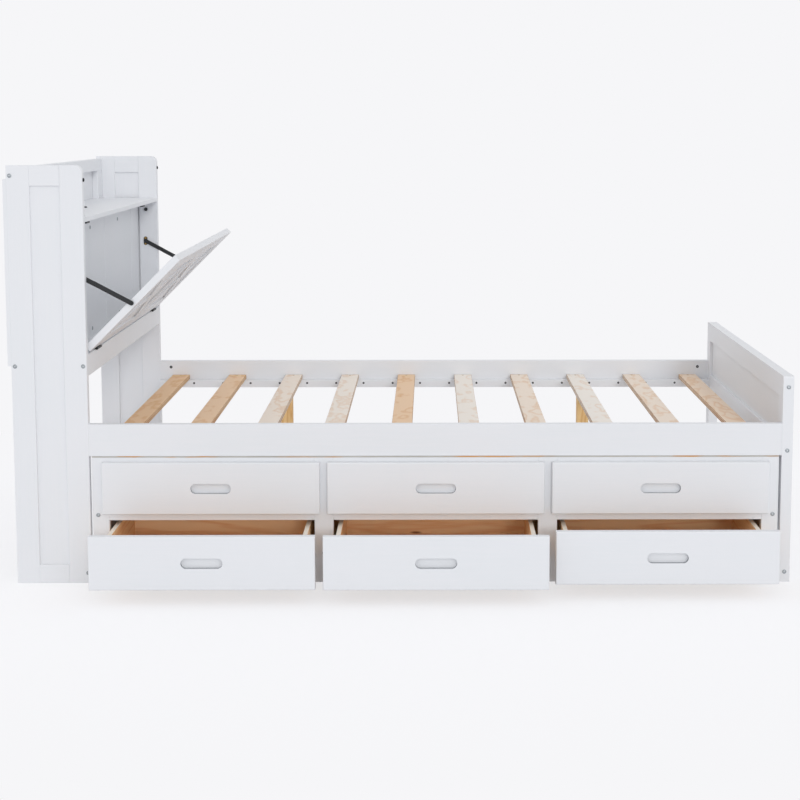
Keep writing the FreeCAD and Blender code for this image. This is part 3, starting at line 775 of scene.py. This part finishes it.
class NodeWorkshop:
    """Geometry Nodes trees that make what repeats on the bed."""

    _trees: ClassVar[dict[str, bpy.types.NodeTree]] = {}
    _heads: ClassVar[dict[str, bpy.types.Object]] = {}

    @classmethod
    def tree(cls, name: str, sockets: Sequence[tuple[str, str]],
             fill: Callable[[bpy.types.NodeTree, bpy.types.Node], Source]) -> bpy.types.NodeTree:
        """Builds a tree at its first use, ended by Realize Instances and Set Material.

        Args:
            name: The tree's name.
            sockets: Names and types of its inputs besides the geometry and the finish.
            fill: Adds the tree's own nodes and returns the geometry that they make.

        Returns:
            The node tree.
        """
        if name in cls._trees:
            return cls._trees[name]
        tree = bpy.data.node_groups.new(name, "GeometryNodeTree")
        tree.interface.new_socket("Points", in_out="INPUT", socket_type="NodeSocketGeometry")
        for title, kind in sockets:
            tree.interface.new_socket(title, in_out="INPUT", socket_type=kind)
        tree.interface.new_socket("Finish", in_out="INPUT", socket_type="NodeSocketMaterial")
        tree.interface.new_socket("Pieces", in_out="OUTPUT", socket_type="NodeSocketGeometry")
        given = add_node(tree, "NodeGroupInput")
        real = add_node(tree, "GeometryNodeRealizeInstances", {"Geometry": fill(tree, given)})
        coated = add_node(tree, "GeometryNodeSetMaterial",
                          {"Geometry": real, "Material": given.outputs["Finish"]})
        add_node(tree, "NodeGroupOutput", {0: coated})
        cls._trees[name] = tree
        return tree

    @staticmethod
    def bake(name: str, start: bpy.types.Mesh, tree: bpy.types.NodeTree, values: dict[str, Any]) -> bpy.types.Object:
        """Runs a tree on a start mesh and keeps the result as a plain mesh.

        Args:
            name: The piece's name.
            start: The mesh that goes in.
            tree: The node tree.
            values: The tree's inputs, by socket name.

        Returns:
            The finished object, with no modifier left.
        """
        piece = new_object(name, start)
        maker = piece.modifiers.new("maker", "NODES")
        maker.node_group = tree
        for item in tree.interface.items_tree:
            if item.item_type == "SOCKET" and item.in_out == "INPUT" and item.name in values:
                maker[item.identifier] = values[item.name]
        depsgraph = bpy.context.evaluated_depsgraph_get()
        made = bpy.data.meshes.new_from_object(piece.evaluated_get(depsgraph), preserve_all_data_layers=True,
                                               depsgraph=depsgraph)
        piece.modifiers.remove(maker)
        piece.data = made
        made.name = name
        return piece

    @staticmethod
    def fasteners(tree: bpy.types.NodeTree, given: bpy.types.Node) -> Source:
        """Sets a head on every point, along the point's facing, turned by chance about its own axis.

        Args:
            tree: The node tree.
            given: Its group input.

        Returns:
            The instances.
        """
        head = add_node(tree, "GeometryNodeObjectInfo", {"Object": given.outputs["Head"]},
                        transform_space="ORIGINAL")
        facing = add_node(tree, "GeometryNodeInputNamedAttribute", {"Name": "facing"}, data_type="FLOAT_VECTOR")
        aimed = add_node(tree, "FunctionNodeAlignRotationToVector", {"Vector": facing}, axis="Z")
        chance = add_node(tree, "FunctionNodeRandomValue",
                          {2: 0.0, 3: given.outputs["Most turn"], "Seed": given.outputs["Seed"]}, data_type="FLOAT")
        spin = add_node(tree, "FunctionNodeAxisAngleToRotation",
                        {"Axis": (0.0, 0.0, 1.0), "Angle": chance.outputs[1]})
        turned = add_node(tree, "FunctionNodeRotateRotation",
                          {"Rotation": aimed, "Rotate By": spin}, rotation_space="LOCAL")
        placed = add_node(tree, "GeometryNodeInstanceOnPoints",
                          {"Points": given.outputs["Points"], "Instance": head.outputs["Geometry"],
                           "Rotation": turned})
        return placed

    @staticmethod
    def slats(tree: bpy.types.NodeTree, given: bpy.types.Node) -> Source:
        """Sweeps a rounded board across the bed and repeats it along the bed, each with a tone of its own.

        Args:
            tree: The node tree.
            given: Its group input.

        Returns:
            The instances.
        """
        plan = add_node(tree, "GeometryNodeCurvePrimitiveQuadrilateral",
                        {"Width": given.outputs["Width"], "Height": given.outputs["Thickness"]})
        eased = add_node(tree, "GeometryNodeFilletCurve",
                         {"Curve": plan, "Count": 3, "Radius": given.outputs["Edge radius"]}, mode="POLY")
        half = add_node(tree, "ShaderNodeMath", {0: given.outputs["Length"], 1: 0.5}, operation="MULTIPLY")
        back = add_node(tree, "ShaderNodeMath", {0: half, 1: -1.0}, operation="MULTIPLY")
        start = add_node(tree, "ShaderNodeCombineXYZ", {"Y": back})
        end = add_node(tree, "ShaderNodeCombineXYZ", {"Y": half})
        run = add_node(tree, "GeometryNodeCurvePrimitiveLine", {"Start": start, "End": end})
        level = add_node(tree, "GeometryNodeSetCurveNormal", {"Curve": run}, mode="Z_UP")
        swept = add_node(tree, "GeometryNodeCurveToMesh",
                         {"Curve": level, "Profile Curve": eased, "Fill Caps": True})
        pitch = add_node(tree, "ShaderNodeCombineXYZ", {"X": given.outputs["Pitch"]})
        row = add_node(tree, "GeometryNodeMeshLine",
                       {"Count": given.outputs["Count"], "Start Location": given.outputs["First"],
                        "Offset": pitch}, mode="OFFSET")
        placed = add_node(tree, "GeometryNodeInstanceOnPoints",
                          {"Points": row, "Instance": swept})
        chance = add_node(tree, "FunctionNodeRandomValue", {2: 0.0, 3: 1.0, "Seed": given.outputs["Seed"]},
                          data_type="FLOAT")
        toned = add_node(tree, "GeometryNodeStoreNamedAttribute",
                         {"Geometry": placed, "Name": "tone", "Value": chance.outputs[1]},
                         data_type="FLOAT", domain="INSTANCE")
        return toned

    @classmethod
    def row(cls, name: str, body: str, slot: str, head: TurnedHead, finish: Finish, places: Sequence[Place],
            *stands_for: str, seed: int = 7, most_turn: float = 2 * math.pi) -> bpy.types.Object:
        """Makes all fasteners of one kind on one body as one piece.

        Args:
            name: The piece's name.
            body: The CAD body that it rides on.
            slot: The record's material slot.
            head: The turned head to repeat.
            finish: Its finish.
            places: Where the heads stand.
            *stands_for: CAD nodes that the piece replaces.
            seed: Fixes the chance turns.
            most_turn: The largest turn about a head's own axis.

        Returns:
            The seated piece.
        """
        if head.name not in cls._heads:
            cls._heads[head.name] = head.make()
        points = bpy.data.meshes.new(f"{name}_points")
        points.from_pydata([tuple(place.at) for place in places], [], [])
        facing = points.attributes.new("facing", "FLOAT_VECTOR", "POINT")
        for index, place in enumerate(places):
            facing.data[index].vector = place.facing
        tree = cls.tree("fasteners on points",
                        (("Head", "NodeSocketObject"), ("Seed", "NodeSocketInt"), ("Most turn", "NodeSocketFloat")),
                        cls.fasteners)
        piece = cls.bake(name, points, tree, {"Head": cls._heads[head.name], "Seed": seed, "Most turn": most_turn,
                                              "Finish": finish.material()})
        return seat(piece, body, slot, *stands_for)

    @classmethod
    def clear_helpers(cls) -> None:
        """Removes the heads that the rows were copied from."""
        for helper in cls._heads.values():
            bpy.data.objects.remove(helper)
        cls._heads.clear()


def shelf_middle_y() -> float:
    """Finds the middle of the bed's width from its shelf, in metres."""
    low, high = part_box("headboard_shelf")
    return (low.y + high.y) / 2


def spaced(low: float, high: float, count: int) -> list[float]:
    """Spreads places evenly between two limits, both included.

    Args:
        low: The first place.
        high: The last place.
        count: How many there are.

    Returns:
        The places.
    """
    return [low + (high - low) * index / (count - 1) for index in range(count)]


# Sub-assemblies


@dataclass
class Headboard:
    """Bookcase headboard: framed sides, shelf, cross rails, back panel and their fasteners. Sizes in mm."""

    edge_bolt_drop: float = 40.0
    panel_screw_inset: float = 14.0
    panel_screws_across: int = 7
    panel_screws_up: int = 5
    lining_bolt_side: float = 185.0
    lining_bolt_drop: float = 38.0
    lining_bolt_lift: float = 25.0
    button_back: float = 39.0
    button_drop: float = 27.0
    cap_back: float = 106.0
    cap_off_middle: float = 74.5

    def dress(self) -> None:
        """Gives the painted boards their finish, with the grain along each board."""
        dress(("headboard_near_stiles", "headboard_far_stiles", "headboard_side_panels", "headboard_back_stiles",
               "headboard_back_panel"), PAINT[Axis.Z])
        dress(("headboard_near_rails", "headboard_far_rails"), PAINT[Axis.X])
        dress(("headboard_top_rail", "headboard_shelf", "compartment_floor", "headboard_cross_rails"), PAINT[Axis.Y])

    def edge_bolts(self) -> None:
        """Sets a dark round bolt in the front edge of each side, near its top."""
        places = []
        for node in ("headboard_near_stiles", "headboard_far_stiles"):
            low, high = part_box(node)
            at = Vector((high.x, (low.y + high.y) / 2, high.z - self.edge_bolt_drop * MM))
            places.append(Place(at, Vector((1, 0, 0))))
        NodeWorkshop.row("headboard_edge_bolts", ROOT, "black_steel", ROUND_BOLT, BLACK_OXIDE, places)

    def panel_screws(self) -> None:
        """Runs a row of screws round the edge of the applied back panel."""
        low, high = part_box("headboard_back_panel")
        inset = self.panel_screw_inset * MM
        back = Vector((-1, 0, 0))
        places = []
        for y in spaced(low.y + inset, high.y - inset, self.panel_screws_across):
            places += [Place(Vector((low.x, y, z)), back) for z in (low.z + inset, high.z - inset)]
        for z in spaced(low.z + inset, high.z - inset, self.panel_screws_up)[1:-1]:
            places += [Place(Vector((low.x, y, z)), back) for y in (low.y + inset, high.y - inset)]
        NodeWorkshop.row("back_panel_screws", ROOT, "zinc_steel", CROSS_SCREW, ZINC, places)

    def lining_bolts(self) -> None:
        """Bolts the planks that line the compartment's back, under the shelf and above the floor."""
        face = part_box("headboard_back_panel")[1].x
        low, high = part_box("headboard_shelf")
        floor_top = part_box("compartment_floor")[1].z
        places = []
        for z in (low.z - self.lining_bolt_drop * MM, floor_top + self.lining_bolt_lift * MM):
            for side in (-1, 1):
                y = (low.y + high.y) / 2 + side * self.lining_bolt_side * MM
                places.append(Place(Vector((face, y, z)), Vector((1, 0, 0))))
        NodeWorkshop.row("lining_bolts", ROOT, "zinc_steel", SOCKET_BOLT, ZINC, places)

    def buttons(self) -> None:
        """Puts a rubber button inside each side, behind the shut flap, and a low cap on the shelf."""
        low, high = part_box("headboard_shelf")
        x, z = high.x - self.button_back * MM, low.z - self.button_drop * MM
        places = [Place(Vector((x, y, z)), Vector((0, inward, 0))) for y, inward in ((low.y, 1), (high.y, -1))]
        NodeWorkshop.row("rubber_buttons", ROOT, "black_plastic", RUBBER_BUTTON, MOULDED_BLACK, places)
        cap = Vector((high.x - self.cap_back * MM, (low.y + high.y) / 2 - self.cap_off_middle * MM, high.z))
        NodeWorkshop.row("shelf_cap", ROOT, "black_plastic", SHELF_CAP, MOULDED_BLACK, [Place(cap, UP)])

    def build(self) -> None:
        """Builds and dresses the headboard."""
        self.dress()
        self.edge_bolts()
        self.panel_screws()
        self.lining_bolts()
        self.buttons()


@dataclass
class Flap:
    """Drop-down flap with its braces, hinges, stays and strike plates. Sizes in mm."""

    open_angle: float = 45.0
    plate_length: float = 36.0
    plate_height: float = 13.0
    plate_t: float = 0.8
    plate_corner: float = 3.0
    plate_top_gap: float = 4.0
    screw_offset: float = 9.0
    # The screws sit below the plate's middle, where the catch doesn't reach
    screw_drop: float = 2.6
    hinge_screws: int = 3
    hinge_screw_back: float = 7.0
    hinge_screw_inset: float = 8.0
    hinge_screw_seat: float = 1.65
    bracket_screw_offset: float = 10.2
    bracket_t: float = 1.5
    top_gap: float = 2.8
    # Share of the way from a field's corner to its middle at which a brad pins the brace
    brad_share: float = 0.08

    def hinge_turn(self) -> Matrix:
        """Finds the turn that takes a piece from the shut flap to the open one.

        Returns:
            The turn about the hinge, as a world matrix.
        """
        hinge = next(joint for joint in frame["joints"] if joint["name"] == "flap_hinge")
        pivot = Matrix.Translation(Vector(hinge["pos_m"]))
        return pivot @ Matrix.Rotation(math.radians(self.open_angle), 4, "Y") @ pivot.inverted()

    def dress(self) -> None:
        """Gives the flap's boards and its black hardware their finishes."""
        dress(("flap_stiles", "flap_panel"), FLAP_PAINT)
        dress(("flap_rails",), PAINT[Axis.Y])
        dress(("flap_braces",), BRACE_PAINT)
        dress(("hinge_rail_leaves", "hinge_flap_leaves", "hinge_pins", "stay_brackets", "stay_studs",
               "near_stay_upper_link", "near_stay_lower_link", "far_stay_upper_link", "far_stay_lower_link"),
              POWDER_BLACK)
        dress(("flap_catches",), MOULDED_BLACK)

    def strike_plates(self) -> None:
        """Screws a thin steel plate inside the flap opposite each catch."""
        shell = bmesh.new()
        screws = []
        stile_low, stile_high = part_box("headboard_near_stiles")
        inside = stile_high.x - (stile_high.y - stile_low.y)
        shelf_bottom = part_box("headboard_shelf")[0].z
        turn = self.hinge_turn()
        for low, high in solid_boxes("flap_catches"):
            mid_y = (low.y + high.y) / 2
            mid_z = shelf_bottom - (self.top_gap + self.plate_top_gap + self.plate_height / 2) * MM
            outline = rounded_rectangle(self.plate_length * MM, self.plate_height * MM, self.plate_corner * MM, 4)
            back = [shell.verts.new((inside, mid_y + u, mid_z + v)) for u, v in outline]
            face = [shell.verts.new((inside - self.plate_t * MM, mid_y + u, mid_z + v)) for u, v in outline]
            close_prism(shell, back, face)
            for side in (-1, 1):
                at = Vector((inside - self.plate_t * MM, mid_y + side * self.screw_offset * MM,
                             mid_z - self.screw_drop * MM))
                screws.append(Place(turn @ at, turn.to_3x3() @ Vector((-1, 0, 0))))
        mesh = bpy.data.meshes.new("strike_plates")
        shell.to_mesh(mesh)
        shell.free()
        mesh.transform(turn)
        mesh.materials.append(ZINC.material())
        seat(new_object("flap_strike_plates", mesh), FLAP, "zinc_steel")
        NodeWorkshop.row("strike_plate_screws", FLAP, "zinc_steel", CROSS_SCREW, ZINC, screws)

    def brace_brads(self) -> None:
        """Pins each brace to the panel near its ends."""
        turn = self.hinge_turn()
        undo = turn.inverted()
        stiles = sorted(solid_boxes("flap_stiles", undo), key=lambda box: box[0].y)
        bottom, top = sorted(solid_boxes("flap_rails", undo), key=lambda box: box[0].z)
        face = max(high.x for _, high in solid_boxes("flap_braces", undo))
        mid_z = (bottom[1].z + top[0].z) / 2
        places = []
        for left, right in zip(stiles, stiles[1:]):
            middle = Vector((face, (left[1].y + right[0].y) / 2, mid_z))
            for y in (left[1].y, right[0].y):
                for z in (bottom[1].z, top[0].z):
                    at = Vector((face, y, z)).lerp(middle, self.brad_share)
                    places.append(Place(turn @ at, turn.to_3x3() @ Vector((1, 0, 0))))
        NodeWorkshop.row("brace_brads", FLAP, "zinc_steel", BRAD, COPPERED, places)

    def hinge_and_bracket_screws(self) -> None:
        """Screws the hinge leaves to the rail and the stay brackets to the sides."""
        places = []
        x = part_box("headboard_near_stiles")[1].x - self.hinge_screw_back * MM
        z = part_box("headboard_cross_rails")[1].z + self.hinge_screw_seat * MM
        inset = self.hinge_screw_inset * MM
        for low, high in solid_boxes("hinge_rail_leaves"):
            places += [Place(Vector((x, y, z)), UP)
                       for y in spaced(low.y + inset, high.y - inset, self.hinge_screws)]
        NodeWorkshop.row("hinge_screws", ROOT, "zinc_steel", CROSS_SCREW, BLACK_OXIDE, places)
        places = []
        for low, high in solid_boxes("stay_brackets"):
            inward = 1 if low.y < shelf_middle_y() else -1
            wall = low.y if inward > 0 else high.y
            for side in (-1, 1):
                z = (low.z + high.z) / 2 + side * self.bracket_screw_offset * MM
                at = Vector(((low.x + high.x) / 2, wall + inward * self.bracket_t * MM, z))
                places.append(Place(at, Vector((0, inward, 0))))
        NodeWorkshop.row("stay_bracket_screws", ROOT, "zinc_steel", CROSS_SCREW, YELLOW_ZINC, places)

    def build(self) -> None:
        """Builds and dresses the flap and its hardware."""
        self.dress()
        self.strike_plates()
        self.brace_brads()
        self.hinge_and_bracket_screws()


def rounded_rectangle(width: float, height: float, corner: float, steps: int) -> list[tuple[float, float]]:
    """Draws a rectangle with round corners about its middle.

    Args:
        width: Its width.
        height: Its height.
        corner: Its corner radius.
        steps: Points on each corner, less one.

    Returns:
        The outline's points, anticlockwise.
    """
    points = []
    for quarter, (side, up) in enumerate(((1, 1), (-1, 1), (-1, -1), (1, -1))):
        for step in range(steps + 1):
            angle = math.pi / 2 * (quarter + step / steps)
            points.append((side * (width / 2 - corner) + corner * math.cos(angle),
                           up * (height / 2 - corner) + corner * math.sin(angle)))
    return points


def close_prism(shell: bmesh.types.BMesh, back: Sequence[bmesh.types.BMVert],
                face: Sequence[bmesh.types.BMVert]) -> None:
    """Joins two outlines into a closed plate that faces outwards.

    Args:
        shell: The mesh in the making.
        back: The outline of the back.
        face: The outline of the face, in the same order.
    """
    made = [shell.faces.new(back), shell.faces.new(face)]
    for index in range(len(back)):
        nxt = (index + 1) % len(back)
        made.append(shell.faces.new((back[index], back[nxt], face[nxt], face[index])))
    bmesh.ops.recalc_face_normals(shell, faces=made)


@dataclass
class Footboard:
    """Panelled footboard on two posts."""

    def dress(self) -> None:
        """Gives posts, rails and panel their paint."""
        dress(("footboard_posts",), PAINT[Axis.Z])
        dress(("footboard_rails", "footboard_panel"), PAINT[Axis.Y])

    def build(self) -> None:
        """Builds and dresses the footboard."""
        self.dress()


@dataclass
class SlattedBase:
    """Side rails, ledgers, slats and middle legs. Sizes in mm."""

    slat_edge_radius: float = 2.0
    slat_screw_inset: float = 14.0
    ledger_screw_side: float = 48.0
    nut_inset: float = 38.0
    nut_drop: float = 22.0
    ledger_screw_lift: float = 15.0
    seed: int = 2524

    def dress(self) -> None:
        """Gives the rails their paint and the legs their bare pine."""
        dress(("side_rail_near", "side_rail_far", "slat_ledgers"), PAINT[Axis.X])
        dress(("middle_legs",), LEG_PINE)

    def slats(self) -> None:
        """Makes the slats with rounded edges and a tone for each board."""
        boxes = solid_boxes("slats")
        low, high = boxes[0]
        size = high - low
        pitch = boxes[1][0].x - low.x
        tree = NodeWorkshop.tree(
            "slats across the bed",
            (("Count", "NodeSocketInt"), ("First", "NodeSocketVector"), ("Pitch", "NodeSocketFloat"),
             ("Length", "NodeSocketFloat"), ("Width", "NodeSocketFloat"), ("Thickness", "NodeSocketFloat"),
             ("Edge radius", "NodeSocketFloat"), ("Seed", "NodeSocketInt")), NodeWorkshop.slats)
        start = bpy.data.meshes.new("slat_start")
        piece = NodeWorkshop.bake("pine_slats", start, tree, {
            "Count": len(boxes), "First": (low + high) / 2, "Pitch": pitch, "Length": size.y, "Width": size.x,
            "Thickness": size.z, "Edge radius": self.slat_edge_radius * MM, "Seed": self.seed,
            "Finish": SLAT_PINE.material()})
        seat(piece, ROOT, "bare_pine", "slats")

    def screws(self) -> None:
        """Screws each slat down at both ends, and the ledgers to the rails beside the slats."""
        down, across = [], []
        ledgers = sorted(solid_boxes("slat_ledgers"), key=lambda box: box[0].y)
        for low, high in solid_boxes("slats"):
            mid_x = (low.x + high.x) / 2
            for y in (low.y + self.slat_screw_inset * MM, high.y - self.slat_screw_inset * MM):
                down.append(Place(Vector((mid_x, y, high.z)), UP))
            for x in (mid_x - self.ledger_screw_side * MM, mid_x + self.ledger_screw_side * MM):
                z = ledgers[0][0].z + self.ledger_screw_lift * MM
                across.append(Place(Vector((x, ledgers[0][1].y, z)), Vector((0, 1, 0))))
                across.append(Place(Vector((x, ledgers[1][0].y, z)), Vector((0, -1, 0))))
        NodeWorkshop.row("slat_screws", ROOT, "zinc_steel", CROSS_SCREW, YELLOW_ZINC, down, seed=3)
        NodeWorkshop.row("ledger_screws", ROOT, "black_steel", CROSS_SCREW, BLACK_OXIDE, across, seed=4)

    def barrel_nuts(self) -> None:
        """Sets a slotted nut inside each end of both side rails."""
        places = []
        for node, inward in (("side_rail_near", 1), ("side_rail_far", -1)):
            low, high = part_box(node)
            face = high.y if inward > 0 else low.y
            z = high.z - self.nut_drop * MM
            for x in (low.x + self.nut_inset * MM, high.x - self.nut_inset * MM):
                places.append(Place(Vector((x, face, z)), Vector((0, inward, 0))))
        NodeWorkshop.row("rail_barrel_nuts", ROOT, "zinc_steel", BARREL_NUT, BLACK_OXIDE, places, most_turn=0.6)

    def build(self) -> None:
        """Builds and dresses the base."""
        self.dress()
        self.slats()
        self.screws()
        self.barrel_nuts()


@dataclass
class DrawerChest:
    """Face frame, partitions, back and the fixed side of the slides."""

    def dress(self) -> None:
        """Gives the painted boards, bare strips and fixed channels their finishes."""
        dress(("chest_stiles", "chest_partitions"), PAINT[Axis.Z])
        dress(("chest_rails", "chest_back"), PAINT[Axis.X])
        # The strip's grey paint is painted shade for the shadow under the side rail
        dress(("chest_spacer",), SHADED_SPACER_PAINT)
        dress(("slide_cleats",), CLEAT_PINE)
        dress(("slide_channels",), ROLLED_STEEL)

    def rollers(self) -> None:
        """Makes the front rollers of the fixed channels."""
        channels = sorted(solid_boxes("slide_channels"), key=lambda box: box[0].x)
        places = []
        for low, high in solid_boxes("slide_rollers"):
            host = min(channels, key=lambda box: abs(box[0].x - low.x) + abs(box[0].z - low.z))
            inward = 1 if low.x - host[0].x < host[1].x - high.x else -1
            x = low.x if inward > 0 else high.x
            places.append(Place(Vector((x, (low.y + high.y) / 2, (low.z + high.z) / 2)), Vector((inward, 0, 0))))
        NodeWorkshop.row("channel_rollers", ROOT, "white_nylon", NYLON_ROLLER, NYLON, places, "slide_rollers")

    def bolts(self) -> None:
        """Makes the socket bolts of the whole frame at the places that the frame gives."""
        places = []
        for low, high in solid_boxes("frame_bolts"):
            out = -1 if low.y < shelf_middle_y() else 1
            y = high.y if out < 0 else low.y
            places.append(Place(Vector(((low.x + high.x) / 2, y, (low.z + high.z) / 2)), Vector((0, out, 0))))
        NodeWorkshop.row("connecting_bolts", ROOT, "zinc_steel", SOCKET_BOLT, ZINC, places, "frame_bolts")

    def build(self) -> None:
        """Builds and dresses the chest."""
        self.dress()
        self.rollers()
        self.bolts()


@dataclass
class Drawer:
    """One drawer: overlay front, pine box and the moving side of its slides. Sizes in mm."""

    row: str
    column: str
    longest_roller: float = 100.0
    rim_band: float = 3.0

    @property
    def body(self) -> str:
        """Names the CAD body of this drawer."""
        return f"{self.row}_{self.column}_drawer"

    def dress(self) -> None:
        """Gives front, box and runners their finishes."""
        low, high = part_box(f"{self.body}_front")
        middle = (low + high) / 2 / MM
        dress((f"{self.body}_front",), replace(FRONT_PAINT, name=f"{FRONT_PAINT.name}_{self.row}_{self.column}",
                                               middle_x=middle.x, middle_z=middle.z))
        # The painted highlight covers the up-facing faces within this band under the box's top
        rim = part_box(f"{self.body}_box")[1].z / MM - self.rim_band
        dress((f"{self.body}_box",), replace(DRAWER_PINE, name=f"{DRAWER_PINE.name}_{self.row}", edge_above=rim))
        dress((f"{self.body}_runners",), ROLLED_STEEL)

    def tyres(self) -> None:
        """Puts a nylon tyre over the back roller of each runner."""
        box_low, box_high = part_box(f"{self.body}_box")
        mid_x = (box_low.x + box_high.x) / 2
        places = []
        for low, high in solid_boxes(f"{self.body}_runners"):
            if high.y - low.y > self.longest_roller * MM:
                continue
            out = -1 if low.x < mid_x else 1
            x = high.x if out < 0 else low.x
            places.append(Place(Vector((x, (low.y + high.y) / 2, (low.z + high.z) / 2)), Vector((out, 0, 0))))
        NodeWorkshop.row(f"{self.body}_tyres", self.body, "white_nylon", ROLLER_TYRE, NYLON, places)

    def build(self) -> None:
        """Builds and dresses the drawer."""
        self.dress()
        self.tyres()


# Studio


@dataclass
class Studio:
    """Pale floor, soft light and the camera of the picture."""

    backdrop: str = "#F6F6F8"
    floor_size: float = 80.0
    # How far under the bed's feet the floor lies, in mm
    floor_drop: float = 0.3
    floor_share: float = 0.62
    # How bright the bare floor comes out under the lamps, as a share of the backdrop
    floor_lit: float = 0.81
    # Distances along the bed, in metres, between which the floor's own shading fades into the backdrop
    fade: tuple[float, float] = (1.7, 3.4)
    fade_across: float = 2.0
    sky: float = 0.84
    sky_colour: str = "#F5F6F8"
    camera_at: tuple[float, float, float] = (0.0766, -4.2902, 1.2864)
    camera_pitch: float = 5.74
    camera_yaw: float = -0.34
    lens: float = 63.38
    sensor: float = 36.0
    view_end: float = 200.0
    shift: tuple[float, float] = (-0.0473, -0.17)
    # Bearing, height, strength and spread of each lamp, with the angles in degrees
    suns: tuple[tuple[float, float, float, float], ...] = (
        (12.0, 14.0, 0.48, 10.0), (-4.0, 15.5, 0.08, 10.0), (30.0, 30.0, 0.15, 30.0), (-95.0, 12.0, 0.12, 40.0))

    def floor(self) -> None:
        """Lays a wide pale floor that keeps the object's shadow and shows the backdrop's colour."""
        half, level = self.floor_size / 2, -self.floor_drop * MM
        mesh = bpy.data.meshes.new("studio_floor")
        corners = [(x * half, y * half, level) for x, y in ((-1, -1), (1, -1), (1, 1), (-1, 1))]
        mesh.from_pydata(corners, [], [(0, 1, 2, 3)])
        floor = new_object("studio_floor", mesh)
        made = bpy.data.materials.new("matt_studio_floor")
        made.use_nodes = True
        tree = made.node_tree
        tree.nodes.clear()
        matt = add_node(tree, "ShaderNodeBsdfDiffuse", {"Color": hex_colour(self.backdrop)})
        path = add_node(tree, "ShaderNodeLightPath")
        place = add_node(tree, "ShaderNodeTexCoord").outputs["Object"]
        oval = add_node(tree, "ShaderNodeVectorMath", {0: place, 1: (1.0, self.fade_across, 1.0)},
                        operation="MULTIPLY").outputs["Vector"]
        away = add_node(tree, "ShaderNodeVectorMath", {0: oval}, operation="LENGTH").outputs["Value"]
        share = add_node(tree, "ShaderNodeMapRange",
                         {"Value": away, "From Min": self.fade[0], "From Max": self.fade[1],
                          "To Min": self.floor_share, "To Max": 1.0}, interpolation_type="SMOOTHSTEP")
        lacking = add_node(tree, "ShaderNodeMath", {0: share, 1: self.floor_lit, 2: 1.0 - self.floor_lit},
                           operation="MULTIPLY_ADD")
        lift = add_node(tree, "ShaderNodeMath", {0: lacking, 1: share}, operation="DIVIDE")
        glow = add_node(tree, "ShaderNodeEmission", {"Color": hex_colour(self.backdrop), "Strength": lift})
        seen = add_node(tree, "ShaderNodeMath", {0: path.outputs["Is Camera Ray"], 1: share}, operation="MULTIPLY")
        mixed = add_node(tree, "ShaderNodeMixShader", {0: seen, 1: matt, 2: glow})
        add_node(tree, "ShaderNodeOutputMaterial", {"Surface": mixed})
        mesh.materials.append(made)

    def world(self) -> None:
        """Shows the backdrop's colour to the eye and to metal, and gives the object a softer sky."""
        world = bpy.data.worlds.new("studio_sky")
        bpy.context.scene.world = world
        world.use_nodes = True
        tree = world.node_tree
        tree.nodes.clear()
        path = add_node(tree, "ShaderNodeLightPath")
        seen = add_node(tree, "ShaderNodeMath",
                        {0: path.outputs["Is Camera Ray"], 1: path.outputs["Is Glossy Ray"]}, operation="MAXIMUM")
        seen = add_node(tree, "ShaderNodeMath", {0: seen, 1: path.outputs["Is Transmission Ray"]},
                        operation="MAXIMUM")
        sky = add_node(tree, "ShaderNodeBackground", {"Color": hex_colour(self.sky_colour), "Strength": self.sky})
        back = add_node(tree, "ShaderNodeBackground", {"Color": hex_colour(self.backdrop), "Strength": 1.0})
        mixed = add_node(tree, "ShaderNodeMixShader", {0: seen, 1: sky, 2: back})
        add_node(tree, "ShaderNodeOutputWorld", {"Surface": mixed})

    def lamps(self) -> None:
        """Hangs wide soft lamps in front of the bed, at a bearing and a height in degrees."""
        for index, (bearing, height, strength, spread) in enumerate(self.suns):
            lamp = bpy.data.lights.new(f"soft_lamp_{index}", "SUN")
            lamp.energy = strength
            lamp.angle = math.radians(spread)
            holder = bpy.data.objects.new(lamp.name, lamp)
            holder.rotation_euler = (math.radians(90 - height), 0, math.radians(bearing))
            bpy.context.scene.collection.objects.link(holder)

    def camera(self) -> None:
        """Stands the camera where the picture was taken."""
        camera = bpy.data.cameras.new("picture_camera")
        camera.lens = self.lens
        camera.sensor_width = self.sensor
        camera.shift_x, camera.shift_y = self.shift
        camera.clip_end = self.view_end
        holder = bpy.data.objects.new("picture_camera", camera)
        holder.location = self.camera_at
        holder.rotation_euler = (math.radians(90 - self.camera_pitch), 0, math.radians(self.camera_yaw))
        bpy.context.scene.collection.objects.link(holder)
        bpy.context.scene.camera = holder

    def build(self) -> None:
        """Sets up the studio."""
        bpy.context.scene.view_settings.view_transform = "Standard"
        self.floor()
        self.world()
        self.lamps()
        self.camera()


def main() -> None:
    """Builds the bed's pieces in order, then the studio."""
    logging.basicConfig(level=logging.INFO, format="%(name)s: %(message)s")
    assemblies: list[Union[Headboard, Flap, Footboard, SlattedBase, DrawerChest, Drawer]] = [
        Headboard(), Flap(), Footboard(), SlattedBase(), DrawerChest()]
    assemblies += [Drawer(row, column) for row in ("lower", "upper") for column in ("left", "middle", "right")]
    for assembly in assemblies:
        assembly.build()
    NodeWorkshop.clear_helpers()
    Studio().build()


if __name__ == "__main__":
    main()
